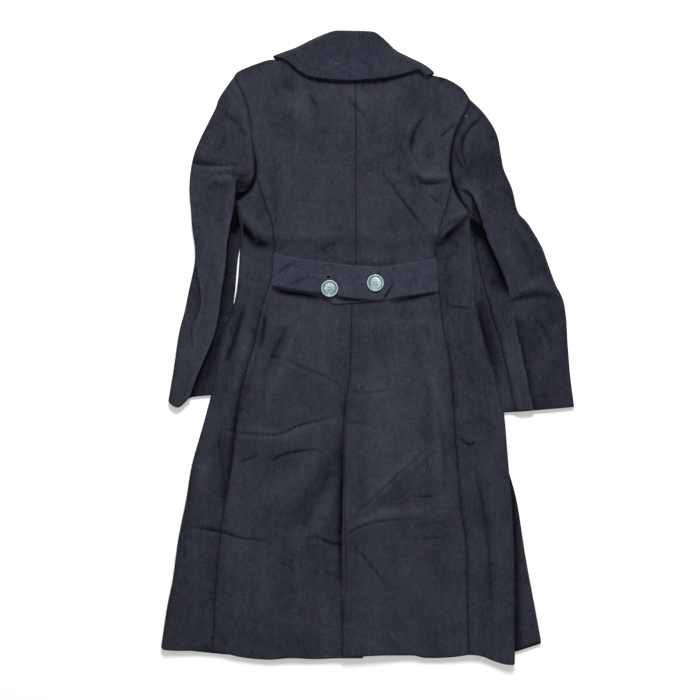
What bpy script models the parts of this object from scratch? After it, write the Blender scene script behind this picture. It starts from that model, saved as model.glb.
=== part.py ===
"""Heavy wool overcoat with a half belt, laid out flat with its back up.

The coat lies face down: the neck points to +Y, the hem to -Y, the wearer's left
is -X and the floor is z = 0. Every piece of cloth is a closed wall. The tables
below are in millimetres; meshes are made in metres.
"""
import math

import bmesh
import bpy

# ------------------------------------------------------------------ driving sizes, mm
METRE = 0.001            # millimetres to metres
CLOTH = 3.0              # thickness of the wool, lining included
GAP = 0.3                # clear space between pieces that touch
SEAM = GAP / 2           # each piece stops this far from its seam line
LAYER = CLOTH + 0.4      # one layer of cloth lifts the next by this much
BACK_LEVEL = 2 * LAYER   # underside of the back, above both fronts
EDGE_STEPS = 6           # facets round a rolled edge
ROLL_START = 6.8         # a roll takes at least this much of a panel's width
CHEST_ROWS = 9           # rows of faces from armpit to below the belt
SKIRT_ROWS = 12          # rows of faces from there to the hem
CHEST_SHARE = 0.29       # how much of the side seams the first of these take
SLEEVE_ROWS = 18         # rows of faces from armhole to cuff
FRONT_LAP = 67.0         # how far each front passes the centre
STEP_WIDTH = 36.0        # the left front climbs over the right front's edge in this width
STEP_CLEARANCE = 6.0     # and has finished climbing this far before the edge
CENTRE_X = -22.0         # centre line of the coat as it lies
VENT_UNDERLAP = 38.0     # width of the hidden half of the vent
VENT_TOP_Y = -99.0       # the vent opens below this
VENT_RISE = 4.3          # the vent's outer half lies this much above the hidden half
VENT_SLOPE_X = (6, 66)   # the rise fades out between these, across the back
VENT_SLOPE_Y = (-90, -24)
BELT_REST = 0.8          # clear space under the half belt
BELT_CLIMB_X = (-150, -92)        # the top tab climbs over the other one between these
COLLAR_LEFT_X = (-234, -184)      # the coat climbs over the collar's hidden ends here,
COLLAR_RIGHT_X = (132, 182)       # comes down here,
COLLAR_ENDS_Y = (350, 446)        # and lies flat again below these heights
SMOOTH_BELT_X = (-212, -184, 140, 160)   # no folds under the half belt: in, full, full, out
SMOOTH_BELT_Y = (40, 66, 180, 204)
SMOOTH_COLLAR_X = (-190, -168, 120, 140)
SMOOTH_COLLAR_Y = (450, 474)
PLEAT_REACH = (66, 128)  # the hidden pleat's lift fades at these distances from the side
PLEAT_TOP_Y = (272, 330)
PLEAT_FROM_X = 40
SHOULDER_REACH = 30      # the back drops on to the front this near the shoulder seams
SHOULDER_FROM_Y = 380
SHOULDER_LEFT_X = (168, 196)      # distances left of the origin where the drop begins
SHOULDER_RIGHT_X = (116, 140)
SLEEVE_FREE = 3.6        # the sleeve's upper layer stands this much above its lower one
SLEEVE_FOLD = 3.5        # and drops this much beyond its folded edges
JOIN_ROWS = 3            # rows in which the sleeve leaves the level of the back
COLLAR_STAND_OFF = 1.4   # the fall starts this far above the layers under it
COLLAR_BULGE = 5.6       # and stands off this much more at its edge
COLLAR_CROWN = (-22, 568)         # the top of the collar as it lies
COLLAR_SQUASH = 0.55     # across the coat the bulge grows this much more slowly
BUTTON_DIAMETER = 30.0
BUTTON_THICKNESS = 5.0
BUTTON_HOLE = 2.2
BUTTON_HOLE_CIRCLE = 6.4

# ------------------------------------------------------------------ seam and edge lines
# Each line is a short table of (x, y) points, from neck to hem or from left to right.
# The points of the armholes are used by every piece that meets there.
ARMHOLE_LEFT = [(-240, 488), (-226, 459), (-216, 430), (-211, 402), (-208, 374), (-204, 348),
                (-201, 326), (-202, 308)]
ARMHOLE_RIGHT = [(184, 447), (178, 428), (168, 409), (159, 387), (153, 363), (149, 340),
                 (149, 319), (153, 300)]
ARMPIT_LEFT = [(-202, 308), (-206, 293), (-215, 281), (-226, 272), (-238, 262)]
ARMPIT_RIGHT = [(153, 300), (156, 288), (161, 276), (169, 264), (179, 250)]
SIDE_SEAM_POINT = 2      # which armpit point the side seams start from
HINDARM_POINT = 8        # which armhole point the seam on top of the sleeve starts from
FOREARM_POINT = 5        # and the hidden seam underneath
SIDE_BACK_LEFT = [(-202, 308), (-197, 297), (-183, 254), (-171, 221), (-168, 174), (-171, 135),
                  (-179, 105), (-192, 67), (-202, 11), (-219, -47), (-233, -113), (-245, -211),
                  (-261, -310), (-273, -423), (-278, -549)]
SIDE_BACK_RIGHT = [(153, 300), (143, 256), (134, 230), (124, 184), (123, 150), (129, 99),
                   (139, 17), (147, -19), (154, -99), (159, -180), (169, -296), (177, -352),
                   (179, -453), (182, -554)]
CENTRE_BACK = [(-22, 517), (-22, 400), (-22, 300), (-22, 153), (-28, 79), (-33, -49), (-39, -99),
               (-41, -180), (-43, -230), (-41, -331), (-39, -423), (-44, -468), (-46, -560)]
SIDE_EDGE_LEFT = [(-238, 262), (-232, 238), (-226, 208), (-229, 175), (-232, 130), (-236, 94),
                  (-244, 67), (-264, 4), (-272, -38), (-280, -79), (-296, -140), (-316, -211),
                  (-326, -271), (-341, -347), (-351, -418), (-361, -468), (-372, -541)]
SIDE_EDGE_RIGHT = [(179, 250), (184, 223), (188, 175), (194, 103), (196, 68), (205, 31),
                   (217, -14), (229, -54), (245, -118), (251, -180), (256, -241), (260, -291),
                   (264, -402), (265, -571)]
UNDER_EDGE_RIGHT = [(179, 250), (176, 223), (174, 175), (180, 103), (182, 68), (191, 31),
                    (203, -14), (215, -54), (232, -118), (242, -180), (254, -221), (270, -281),
                    (285, -377), (300, -458), (314, -534)]
SIDE_SEAM_LEFT = [(-215, 281), (-203, 240), (-194, 175), (-198, 103), (-215, 41), (-236, -38),
                  (-262, -145), (-290, -271), (-314, -418), (-333, -547)]
SIDE_SEAM_RIGHT = [(161, 276), (150, 223), (146, 175), (152, 103), (165, 31), (187, -54),
                   (202, -180), (212, -291), (216, -402), (218, -562)]
SHOULDER_LEFT = [(-240, 488), (-232, 496), (-205, 508), (-180, 516), (-160, 518), (-132, 529),
                 (-103, 534), (-78, 522), (-50, 518), (-22, 517)]
SHOULDER_RIGHT = [(-22, 517), (10, 518), (36, 518), (60, 512), (90, 500), (112, 490), (126, 487),
                  (144, 482), (170, 466), (184, 447)]
FRONT_TOP_LEFT = [(-240, 488), (-232, 496), (-205, 508), (-180, 513), (-160, 512), (-132, 519),
                  (-110, 506), (-80, 476), (-22, 455), (45, 450)]
FRONT_TOP_RIGHT = [(-89, 450), (-22, 455), (30, 474), (60, 488), (90, 487), (112, 479),
                   (128, 481), (144, 480), (170, 466), (184, 447)]
HEM_LEFT = [(-278, -549), (-260, -551), (-225, -559), (-179, -563), (-139, -560), (-93, -562),
            (-46, -560)]
HEM_RIGHT = [(-46, -560), (13, -555), (93, -555), (101, -560), (144, -559), (182, -554)]
HEM_SIDE_LEFT = [(-278, -549), (-301, -547), (-341, -547), (-366, -545), (-372, -541)]
HEM_SIDE_RIGHT = [(182, -554), (204, -556), (230, -566), (250, -571), (265, -571)]

SLEEVE_OUTER_LEFT = [(-240, 488), (-255, 467), (-268, 447), (-274, 430), (-288, 402), (-301, 376),
                     (-313, 346), (-318, 322), (-321, 285), (-318, 245), (-316, 215), (-311, 180),
                     (-312, 150), (-322, 103), (-330, 64), (-340, 25), (-349, -38), (-359, -98)]
SLEEVE_INNER_LEFT = [(-238, 262), (-234.5, 238), (-230, 210), (-232, 182), (-237, 166),
                     (-238.5, 135), (-241, 103), (-246, 69), (-255, 40), (-266, 4), (-274, -38),
                     (-283, -87)]
CUFF_LEFT = [(-359, -98), (-350, -106), (-340, -109), (-330, -101), (-318, -91), (-283, -87)]
FOLD_INNER_LEFT = [(-236, 262), (-247, 232), (-253, 199), (-256, 163), (-259, 113), (-269, 83),
                   (-273, 45), (-285, -3), (-299, -35), (-316, -92)]
FOLD_OUTER_LEFT = [(-309, 168), (-302, 124), (-296, 83), (-307, 45), (-313, 28), (-314, -8)]

SLEEVE_OUTER_RIGHT = [(184, 447), (211, 420), (233, 384), (241, 344), (246, 320), (261, 284),
                      (271, 244), (289, 223), (313, 183), (325, 151), (338, 115), (352, 87),
                      (358, 55), (361, 6), (366, -54), (373, -108)]
SLEEVE_INNER_RIGHT = [(179, 250), (187, 222), (190, 190), (184, 165), (182, 135), (186, 103),
                      (189, 68), (197, 31), (209, -14), (221, -54), (238, -119)]
CUFF_RIGHT = [(373, -108), (305, -114), (238, -119)]
FOLD_INNER_RIGHT = [(179, 250), (197, 220), (213, 205), (221, 175), (237, 139), (249, 111),
                    (259, 84)]

# The collar: where its outline passes, where the fall ends on the back, and where the
# hidden side ends underneath, each as x and y, then that side's height above the floor.
COLLAR_SECTIONS = [
    (-171, 523, -154, 519, -152, 502, 0.0),
    (-156, 529, -142, 512, -134, 480, 0.0),
    (-129, 539, -125, 497, -112, 462, 0.0),
    (-107, 550, -104, 486, -92, 466, 0.0),
    (-88, 559, -82, 482, -84, 515, 0.0),
    (-62, 568, -60, 480, -66, 529, 10.2),
    (-42, 569, -42, 479, -44, 525, 10.2),
    (-22, 568.5, -22, 479, -22, 523, 10.2),
    (-2, 568, 0, 480.5, 0, 525, 10.2),
    (14, 565.5, 20, 482, 18, 527, 10.2),
    (30, 554, 42, 485, 34, 524, 5.0),
    (50, 535, 62, 490, 52, 490, 0.0),
    (72, 523, 79, 495, 66, 458, 0.0),
    (95, 512, 92, 497, 88, 462, 0.0),
    (110, 503, 101, 489, 100, 474, 0.0),
    (121, 493, 106, 487, 108, 480, 0.0),
]

BELT_LEFT_TOP = [(-168, 170), (-139, 162), (-104, 157), (-68, 152), (-28, 147), (28, 144)]
BELT_LEFT_BOTTOM = [(-173, 111), (-109, 100), (-68, 96), (-43, 90), (-8, 86), (25, 84)]
BELT_LEFT_POINT = (45, 115)
BELT_RIGHT_TOP = [(123, 160), (83, 153), (53, 148), (20, 143), (-20, 139), (-63, 137)]
BELT_RIGHT_BOTTOM = [(128, 100), (93, 95), (58, 90), (25, 83), (-8, 80), (-58, 77)]
BELT_RIGHT_POINT = (-85, 103)
BUTTON_CENTRES = {"button_left": (-68, 105), "button_right": (14, 115)}

# ------------------------------------------------------------------ the largest folds
# A fold runs through three points. Then come its height, and how far it reaches to the
# left and to the right of its direction: a short reach gives a steep side.
BACK_FOLDS = [
    ((-238, 264), (-214, 214), (-175, 186), 6.0, 42, 13),      # drag from the left armpit
    ((179, 246), (141, 211), (128, 186), 6.0, 13, 40),         # drag from the right armpit
    ((70, 322), (102, 306), (150, 306), 4.0, 22, 11),          # over the right shoulder blade
    ((100, 372), (84, 345), (92, 318), 3.5, 16, 14),
    ((-150, 455), (-128, 425), (-112, 400), 2.5, 20, 14),      # below the left shoulder
    ((-134, 16), (-150, -36), (-176, -92), 4.5, 26, 15),       # left of the centre, below belt
    ((-66, -150), (-118, -232), (-196, -286), 4.0, 22, 30),    # diagonal from the vent
    ((-60, -262), (-100, -330), (-170, -372), 3.5, 24, 24),
    ((-226, -152), (-150, -160), (-78, -132), 3.0, 12, 24),
    ((-30, -328), (30, -300), (108, -296), 3.0, 12, 24),       # across the right panel
    ((-14, -298), (40, -240), (100, -190), 2.5, 18, 12),
    ((104, 40), (124, -99), (138, -296), 4.0, 17, 15),         # long fold by the right seam
    ((216, -180), (226, -300), (236, -480), 3.5, 18, 22),
    ((-282, -160), (-306, -300), (-322, -480), 3.5, 20, 22),   # long fold by the left side
    ((-214, 60), (-232, -30), (-256, -140), 3.0, 16, 14),
]
SLEEVE_LEFT_FOLDS = [
    ((-308, 336), (-268, 322), (-226, 324), 4.0, 20, 12),      # pushed-up cloth by the elbow
    ((-282, 304), (-248, 304), (-222, 292), 4.0, 14, 10),
    ((-300, 232), (-288, 160), (-286, 96), 3.5, 12, 18),
    ((-300, 20), (-318, -30), (-338, -90), 2.5, 16, 16),
]
SLEEVE_RIGHT_FOLDS = [
    ((160, 306), (184, 286), (206, 240), 5.0, 16, 12),         # roll that leaves the armpit
    ((192, 400), (172, 372), (168, 332), 3.5, 14, 14),         # sleeve head
    ((226, 226), (256, 160), (282, 110), 3.5, 22, 18),
    ((262, 98), (300, 110), (344, 104), 3.0, 18, 10),          # above the elbow
    ((330, 20), (322, -16), (300, -60), 2.5, 18, 14),
]


# ------------------------------------------------------------------ lines and patches
def smooth_line(points, steps=10):
    """A dense smooth line through the points of a table."""
    line = []
    for index in range(len(points) - 1):
        before = points[max(index - 1, 0)]
        start, end = points[index], points[index + 1]
        after = points[min(index + 2, len(points) - 1)]
        for step in range(steps):
            line.append(tuple(between(before[k], start[k], end[k], after[k], step / steps)
                              for k in range(2)))
    line.append(tuple(points[-1]))
    return line


def between(before, start, end, after, t):
    """Catmull-Rom value at t, from start at 0 to end at 1."""
    slope_in = (end - before) / 2
    slope_out = (after - start) / 2
    a = 2 * start - 2 * end + slope_in + slope_out
    b = -3 * start + 3 * end - 2 * slope_in - slope_out
    return ((a * t + b) * t + slope_in) * t + start


def lengths(line):
    """Distance from the start of a line to each of its points."""
    run = [0.0]
    for here, there in zip(line, line[1:]):
        run.append(run[-1] + math.dist(here, there))
    return run


def point_at(line, run, distance):
    """The point of a line at a distance from its start."""
    distance = min(max(distance, 0.0), run[-1])
    for index in range(1, len(run)):
        if distance <= run[index]:
            span = run[index] - run[index - 1]
            t = (distance - run[index - 1]) / span if span > 0 else 0.0
            start, end = line[index - 1], line[index]
            return (start[0] + (end[0] - start[0]) * t, start[1] + (end[1] - start[1]) * t)
    return line[-1]


def spaced(points, count):
    """count + 1 points, evenly spaced along the smooth line through a table."""
    line = smooth_line(points)
    run = lengths(line)
    return [point_at(line, run, run[-1] * k / count) for k in range(count + 1)]


def joined(*lines):
    """Lines that follow each other, with their shared end points kept once."""
    whole = list(lines[0])
    for line in lines[1:]:
        whole += line[1:]
    return whole


def shifted(line, distance):
    """The line moved sideways, to the right of its direction."""
    moved = []
    for index, (x, y) in enumerate(line):
        start = line[max(index - 1, 0)]
        end = line[min(index + 1, len(line) - 1)]
        run = math.dist(start, end) or 1.0
        moved.append((x + (end[1] - start[1]) / run * distance,
                      y - (end[0] - start[0]) / run * distance))
    return moved


def patch(left, right, top, bottom):
    """Rows of points that fill four boundary lines (a Coons patch)."""
    rows, columns = len(left) - 1, len(top) - 1
    grid = []
    for r in range(rows + 1):
        v = r / rows
        row = []
        for c in range(columns + 1):
            u = c / columns
            point = []
            for k in range(2):
                sides = (1 - u) * left[r][k] + u * right[r][k]
                ends = (1 - v) * top[c][k] + v * bottom[c][k]
                corners = ((1 - u) * (1 - v) * top[0][k] + u * (1 - v) * top[-1][k]
                           + (1 - u) * v * bottom[0][k] + u * v * bottom[-1][k])
                point.append(sides + ends - corners)
            row.append(tuple(point))
        grid.append(row)
    return grid


# ------------------------------------------------------------------ heights above the floor
def soft_step(value, low, high):
    """0 below low, 1 above high, and a smooth rise between."""
    t = min(max((value - low) / (high - low), 0.0), 1.0)
    return t * t * (3 - 2 * t)


def plateau(value, low, full_from, full_to, high):
    """0 outside low and high, 1 between full_from and full_to, soft in between."""
    return soft_step(value, low, full_from) * (1 - soft_step(value, full_to, high))


def side_distance(x, y, line):
    """Signed distance to a line (positive on its left) and the place along it, 0 to 1."""
    best = (1e9, 1.0, 0.0)
    for index, (start, end) in enumerate(zip(line, line[1:])):
        along_x, along_y = end[0] - start[0], end[1] - start[1]
        square = along_x ** 2 + along_y ** 2
        t = ((x - start[0]) * along_x + (y - start[1]) * along_y) / square
        t = min(max(t, 0.0), 1.0)
        off_x, off_y = x - start[0] - along_x * t, y - start[1] - along_y * t
        distance = math.hypot(off_x, off_y)
        if distance < best[0]:
            side = 1.0 if along_x * off_y - along_y * off_x >= 0 else -1.0
            best = (distance, side, (index + t) / (len(line) - 1))
    return best[0] * best[1], best[2]


def fold_rise(x, y, folds):
    """Sum of the folds' heights at a place."""
    rise = 0.0
    for start, middle, end, height, left_reach, right_reach in folds:
        distance, along = side_distance(x, y, (start, middle, end))
        reach = left_reach if distance > 0 else right_reach
        fade = math.sin(math.pi * min(max(along, 0.0), 1.0)) * 0.7 + 0.3
        rise += height * fade * math.exp(-(distance / reach) ** 2)
    return rise


def collar_lift(x, y, lead=0.0):
    """One layer more where the collar's front ends lie under the coat."""
    left_from, left_to = COLLAR_LEFT_X
    right_from, right_to = COLLAR_RIGHT_X
    across = plateau(x, left_from - lead, left_to - lead, right_from + lead, right_to + lead)
    return LAYER * across * soft_step(y, COLLAR_ENDS_Y[0] - lead, COLLAR_ENDS_Y[1] - lead)


def belt_zone(x, y):
    """1 under the half belt and the collar, where the back stays smooth."""
    belt = plateau(x, *SMOOTH_BELT_X) * plateau(y, *SMOOTH_BELT_Y)
    collar_part = plateau(x, *SMOOTH_COLLAR_X) * soft_step(y, *SMOOTH_COLLAR_Y)
    return max(belt, collar_part)


SIDE_EDGE_RIGHT_LINE = smooth_line(SIDE_EDGE_RIGHT)
SHOULDER_LINE = smooth_line(joined(SHOULDER_LEFT, SHOULDER_RIGHT), 4)


def pleat_lift(x, y):
    """One layer more over the hidden pleat along the right side."""
    if y > PLEAT_TOP_Y[1] or x < PLEAT_FROM_X:
        return 0.0
    distance = abs(side_distance(x, y, SIDE_EDGE_RIGHT_LINE)[0])
    return LAYER * (1 - soft_step(distance, *PLEAT_REACH)) * (1 - soft_step(y, *PLEAT_TOP_Y))


def shoulder_drop(x, y):
    """The back comes down on to the front along the shoulder seams."""
    if y < SHOULDER_FROM_Y:
        return 0.0
    distance = abs(side_distance(x, y, SHOULDER_LINE)[0])
    outside = max(soft_step(-x, *SHOULDER_LEFT_X), soft_step(x, *SHOULDER_RIGHT_X))
    return LAYER * (1 - soft_step(distance, 0, SHOULDER_REACH)) * outside


def back_under(x, y):
    """Height of the underside of the back layer."""
    folds = fold_rise(x, y, BACK_FOLDS) * (1 - belt_zone(x, y))
    return BACK_LEVEL + collar_lift(x, y, 40) + pleat_lift(x, y) - shoulder_drop(x, y) + folds


def vent_lift(x, y):
    """The right half of the vent rises over the hidden left half."""
    return VENT_RISE * (1 - soft_step(x, *VENT_SLOPE_X)) * (1 - soft_step(y, *VENT_SLOPE_Y))


def back_right_under(x, y):
    """Underside of the right back, which laps over the left at the vent."""
    return back_under(x, y) + vent_lift(x, y)


def front_right_under(x, y):
    """Underside of the right front, on the floor or on the collar's ends."""
    return collar_lift(x, y)


def front_left_under(x, y):
    """Underside of the left front, which steps over the edge of the right front."""
    step_x = CENTRE_X - FRONT_LAP - STEP_CLEARANCE
    return collar_lift(x, y, 8) + LAYER * soft_step(x, step_x - STEP_WIDTH, step_x)


# ------------------------------------------------------------------ making objects
def new_material(name, colour, roughness):
    """A plain finish with the colour of the piece."""
    material = bpy.data.materials.new(name)
    material.use_nodes = True
    shader = material.node_tree.nodes["Principled BSDF"]
    shader.inputs["Base Color"].default_value = (*colour, 1.0)
    shader.inputs["Roughness"].default_value = roughness
    return material


def wall(name, outer, inner, material, collection):
    """A closed wall between two sets of points that share their row and column keys."""
    mesh = bmesh.new()
    outside = {key: mesh.verts.new([METRE * v for v in point]) for key, point in outer.items()}
    inside = {key: mesh.verts.new([METRE * v for v in point]) for key, point in inner.items()}
    edge_use = {}
    for row, column in outer:
        corners = [(row, column), (row, column + 1), (row + 1, column + 1), (row + 1, column)]
        if all(corner in outer for corner in corners):
            a, b, c, d = corners
            mesh.faces.new([outside[key] for key in (a, b, c, d)])
            mesh.faces.new([inside[key] for key in (a, d, c, b)])
            for start, end in ((a, b), (b, c), (c, d), (d, a)):
                edge_use[(start, end)] = edge_use.get((end, start), 0) + 1
                edge_use[(end, start)] = edge_use[(start, end)]
    for (start, end), uses in edge_use.items():
        if uses == 1 and start < end:
            mesh.faces.new([outside[start], outside[end], inside[end], inside[start]])
    return finish_mesh(name, mesh, material, collection)


def finish_mesh(name, mesh, material, collection):
    """Turn a bmesh into a named object with outward faces."""
    bmesh.ops.triangulate(mesh, faces=mesh.faces[:], quad_method="FIXED")
    bmesh.ops.recalc_face_normals(mesh, faces=mesh.faces[:])
    data = bpy.data.meshes.new(name)
    mesh.to_mesh(data)
    mesh.free()
    data.materials.append(material)
    data.shade_smooth()
    data.set_sharp_from_angle(angle=math.radians(50))
    piece = bpy.data.objects.new(name, data)
    collection.objects.link(piece)
    return piece


def sheet_points(grid, under):
    """Outer and inner points of a flat panel whose underside follows a height function."""
    outer, inner = {}, {}
    for r, row in enumerate(grid):
        for c, (x, y) in enumerate(row):
            low = under(x, y)
            outer[(r, c)] = (x, y, low + CLOTH)
            inner[(r, c)] = (x, y, low)
    return outer, inner


def rolled_section(top, bottom, top_stops, bottom_stops, top_under, bottom_under):
    """One section of a wall that rolls round an edge.

    top and bottom are lines that start at the edge; the stops are distances from it.
    Returns the outer and inner points, from the end of the top to the end of the bottom.
    """
    top_run, bottom_run = lengths(top), lengths(bottom)
    near = point_at(top, top_run, 5.0)
    high = top_under(*near) + CLOTH
    low = bottom_under(*near)
    radius = (high - low) / 2
    middle = (high + low) / 2
    outer, inner = [], []
    for stop in sorted(top_stops, reverse=True):
        x, y = point_at(top, top_run, max(stop, radius))
        level = top_under(x, y)
        outer.append((x, y, level + CLOTH))
        inner.append((x, y, level))
    for step in range(1, EDGE_STEPS):
        angle = math.pi * (0.5 - step / EDGE_STEPS)
        line, run = (top, top_run) if angle > 0 else (bottom, bottom_run)
        for points, reach in ((outer, radius), (inner, radius - CLOTH)):
            x, y = point_at(line, run, radius - reach * math.cos(angle))
            points.append((x, y, middle + reach * math.sin(angle)))
    for stop in sorted(bottom_stops):
        x, y = point_at(bottom, bottom_run, max(stop, radius))
        level = bottom_under(x, y)
        outer.append((x, y, level))
        inner.append((x, y, level + CLOTH))
    return outer, inner


def stops(first, last, count):
    """count + 1 distances from first to last."""
    return [first + (last - first) * k / count for k in range(count + 1)]


# ------------------------------------------------------------------ body panels
def side_rows(points):
    """Rows of points down a line from armpit to hem, closer together above the waist."""
    line = smooth_line(points)
    run = lengths(line)
    shares = stops(0.0, CHEST_SHARE, CHEST_ROWS) + stops(CHEST_SHARE, 1.0, SKIRT_ROWS)[1:]
    return [point_at(line, run, run[-1] * share) for share in shares]


def seam_rows(armhole, seam):
    """Rows of points down an armhole and the seam below it."""
    return joined(armhole, side_rows(seam))


def centre_rows():
    """Rows of points down the centre back seam and the vent edge."""
    above = [point for point in CENTRE_BACK if point[1] >= 300]
    below = [point for point in CENTRE_BACK if point[1] <= 300]
    return joined(spaced(above, len(ARMHOLE_LEFT) - 1), side_rows(below))


def back_left(material, collection):
    """Left centre back, with the hidden half of the vent as extra columns."""
    columns = 8
    left = shifted(seam_rows(ARMHOLE_LEFT, SIDE_BACK_LEFT), -SEAM)
    right = shifted(centre_rows(), SEAM)
    grid = patch(left, right, spaced(SHOULDER_LEFT, columns), spaced(HEM_LEFT, columns))
    outer, inner = sheet_points(grid, back_under)
    for r, row in enumerate(grid):
        x, y = row[-1]
        if y < VENT_TOP_Y - 8:
            for extra in (1, 2):
                place = (x + VENT_UNDERLAP * extra / 2, y)
                low = back_under(*place)
                outer[(r, columns + extra)] = (*place, low + CLOTH)
                inner[(r, columns + extra)] = (*place, low)
    return wall("back_left", outer, inner, material, collection)


def back_right(material, collection):
    """Right centre back, whose edge laps over the vent."""
    columns = 9
    left = shifted(centre_rows(), -SEAM)
    right = shifted(seam_rows(ARMHOLE_RIGHT, SIDE_BACK_RIGHT), SEAM)
    grid = patch(left, right, spaced(SHOULDER_RIGHT, columns), spaced(HEM_RIGHT, columns))
    outer, inner = sheet_points(grid, back_right_under)
    return wall("back_right", outer, inner, material, collection)


def rolled_panel(name, tops, bottoms, levels, material, collection):
    """A panel that rolls round an edge, with a column at every point of its top row."""
    outer, inner = {}, {}
    for r, (top, bottom) in enumerate(zip(tops, bottoms)):
        section = rolled_section(top, bottom, [ROLL_START] + lengths(top)[1:],
                                 [ROLL_START] + lengths(bottom)[1:], *levels)
        for c, (out_point, in_point) in enumerate(zip(*section)):
            outer[(r, c)] = out_point
            inner[(r, c)] = in_point
    return wall(name, outer, inner, material, collection)


def floor_level(x, y):
    """The floor."""
    return 0.0


def below_armhole(armhole, armpit, distance):
    """The top of a side panel, from the armpit to its back seam, clear of the sleeve."""
    whole = shifted(joined(armhole, armpit), distance)
    top = whole[len(armhole) - 1:][::-1]
    x, y = top[-1]
    return top[:-1] + [(x, y - SEAM)]


def side_left(material, collection):
    """Left side-back panel: from its seam, round the side fold, to the side seam beneath."""
    edge = side_rows(SIDE_EDGE_LEFT)
    under = shifted(side_rows(SIDE_SEAM_LEFT), SEAM)
    armhole = below_armhole(ARMHOLE_LEFT, ARMPIT_LEFT, -SEAM)
    edge[0] = armhole[0]
    seam = [armhole[-1]] + shifted(side_rows(SIDE_BACK_LEFT), SEAM)[1:]
    below = armhole[:len(armhole) - SIDE_SEAM_POINT]
    hem_below = spaced([(-372, -541), (-366, -545), (-333, -547)], len(below) - 1)
    tops = patch(edge, seam, armhole, spaced(HEM_SIDE_LEFT[::-1], len(armhole) - 1))
    bottoms = patch(edge, under, below, hem_below)
    return rolled_panel("side_left", tops, bottoms, (back_under, floor_level),
                        material, collection)


def side_right(material, collection):
    """Right side-back panel: round the side fold, back to the side seam in the pleat."""
    edge = side_rows(SIDE_EDGE_RIGHT)
    under = side_rows(SIDE_SEAM_RIGHT)
    armhole = below_armhole(ARMHOLE_RIGHT, ARMPIT_RIGHT, SEAM)
    edge[0] = armhole[0]
    seam = [armhole[-1]] + shifted(side_rows(SIDE_BACK_RIGHT), -SEAM)[1:]
    below = armhole[:len(armhole) - SIDE_SEAM_POINT]
    hem_below = spaced([(265, -571), (240, -568), (218, -562)], len(below) - 1)
    tops = patch(edge, seam, armhole, spaced(HEM_SIDE_RIGHT[::-1], len(armhole) - 1))
    bottoms = patch(edge, under, below, hem_below)
    return rolled_panel("side_right", tops, bottoms, (back_under, lambda x, y: 2 * LAYER),
                        material, collection)


def front_rows(count, x):
    """Rows of points down the front edge."""
    return spaced([(x, 450), (x, 0), (x, -556)], count)


def front_left(material, collection):
    """Left front, from the side seam to its edge past the centre."""
    armhole = joined(ARMHOLE_LEFT, ARMPIT_LEFT[:SIDE_SEAM_POINT + 1])
    left = shifted(seam_rows(armhole, SIDE_SEAM_LEFT), -SEAM)
    lap_x = CENTRE_X + FRONT_LAP
    hem = spaced([(-333, -547), (-225, -557), (-100, -558), (lap_x, -556)], 24)
    rows = patch(left, front_rows(len(left) - 1, lap_x), spaced(FRONT_TOP_LEFT, 24), hem)
    climb_x = CENTRE_X - FRONT_LAP - STEP_CLEARANCE
    grid = []
    for row in rows:
        side_x = row[0][0]
        across = stops(side_x, climb_x - STEP_WIDTH, 3) + [climb_x, climb_x + 60, lap_x]
        grid.append([row[0]] + [point_at_x(row, x) for x in across[1:-1]] + [row[-1]])
    outer, inner = sheet_points(grid, front_left_under)
    return wall("front_left", outer, inner, material, collection)


def point_at_x(row, x):
    """The point of a row of points, left to right, at a given x."""
    for here, there in zip(row, row[1:]):
        if here[0] <= x <= there[0]:
            t = (x - here[0]) / (there[0] - here[0])
            return (x, here[1] + (there[1] - here[1]) * t)
    return row[-1]


def front_right(material, collection):
    """Right front, from its edge to the side, where it rolls up into the pleat."""
    columns = 6
    edge = side_rows(UNDER_EDGE_RIGHT)
    armhole = joined(ARMHOLE_RIGHT, ARMPIT_RIGHT)
    chest = len(armhole) - 1
    right = joined(shifted(armhole, SEAM), edge)
    lap_x = CENTRE_X - FRONT_LAP
    hem = spaced([(lap_x, -556), (100, -556), (218, -552), (298, -540), (314, -534)], 24)
    left = front_rows(len(right) - 1, lap_x)
    floor = [row[::-1] for row in patch(left, right, spaced(FRONT_TOP_RIGHT, 24), hem)]
    hem_above = [(314, -534), (265, -545), (218, -552)]
    armpit = below_armhole(ARMHOLE_RIGHT, ARMPIT_RIGHT, SEAM)
    edge[0] = armpit[0]
    above = patch(edge, side_rows(SIDE_SEAM_RIGHT), armpit[:-SIDE_SEAM_POINT], hem_above)
    outer, inner = {}, {}
    for r, line in enumerate(floor):
        run = lengths(line)
        rolled = r >= chest
        for c, stop in enumerate(stops(LAYER if rolled else 0.0, run[-1], columns)):
            x, y = point_at(line, run, stop)
            level = front_right_under(x, y)
            outer[(r, -c)] = (x, y, level)
            inner[(r, -c)] = (x, y, level + CLOTH)
        if rolled:
            top_line = above[r - chest]
            section = rolled_section(top_line, line, [ROLL_START] + lengths(top_line)[1:],
                                     [LAYER], lambda x, y: LAYER, floor_level)
            last = len(section[0]) - 1
            for c, (out_point, in_point) in enumerate(zip(*section)):
                outer[(r, last - c)] = out_point
                inner[(r, last - c)] = in_point
    return wall("front_right", outer, inner, material, collection)


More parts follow.
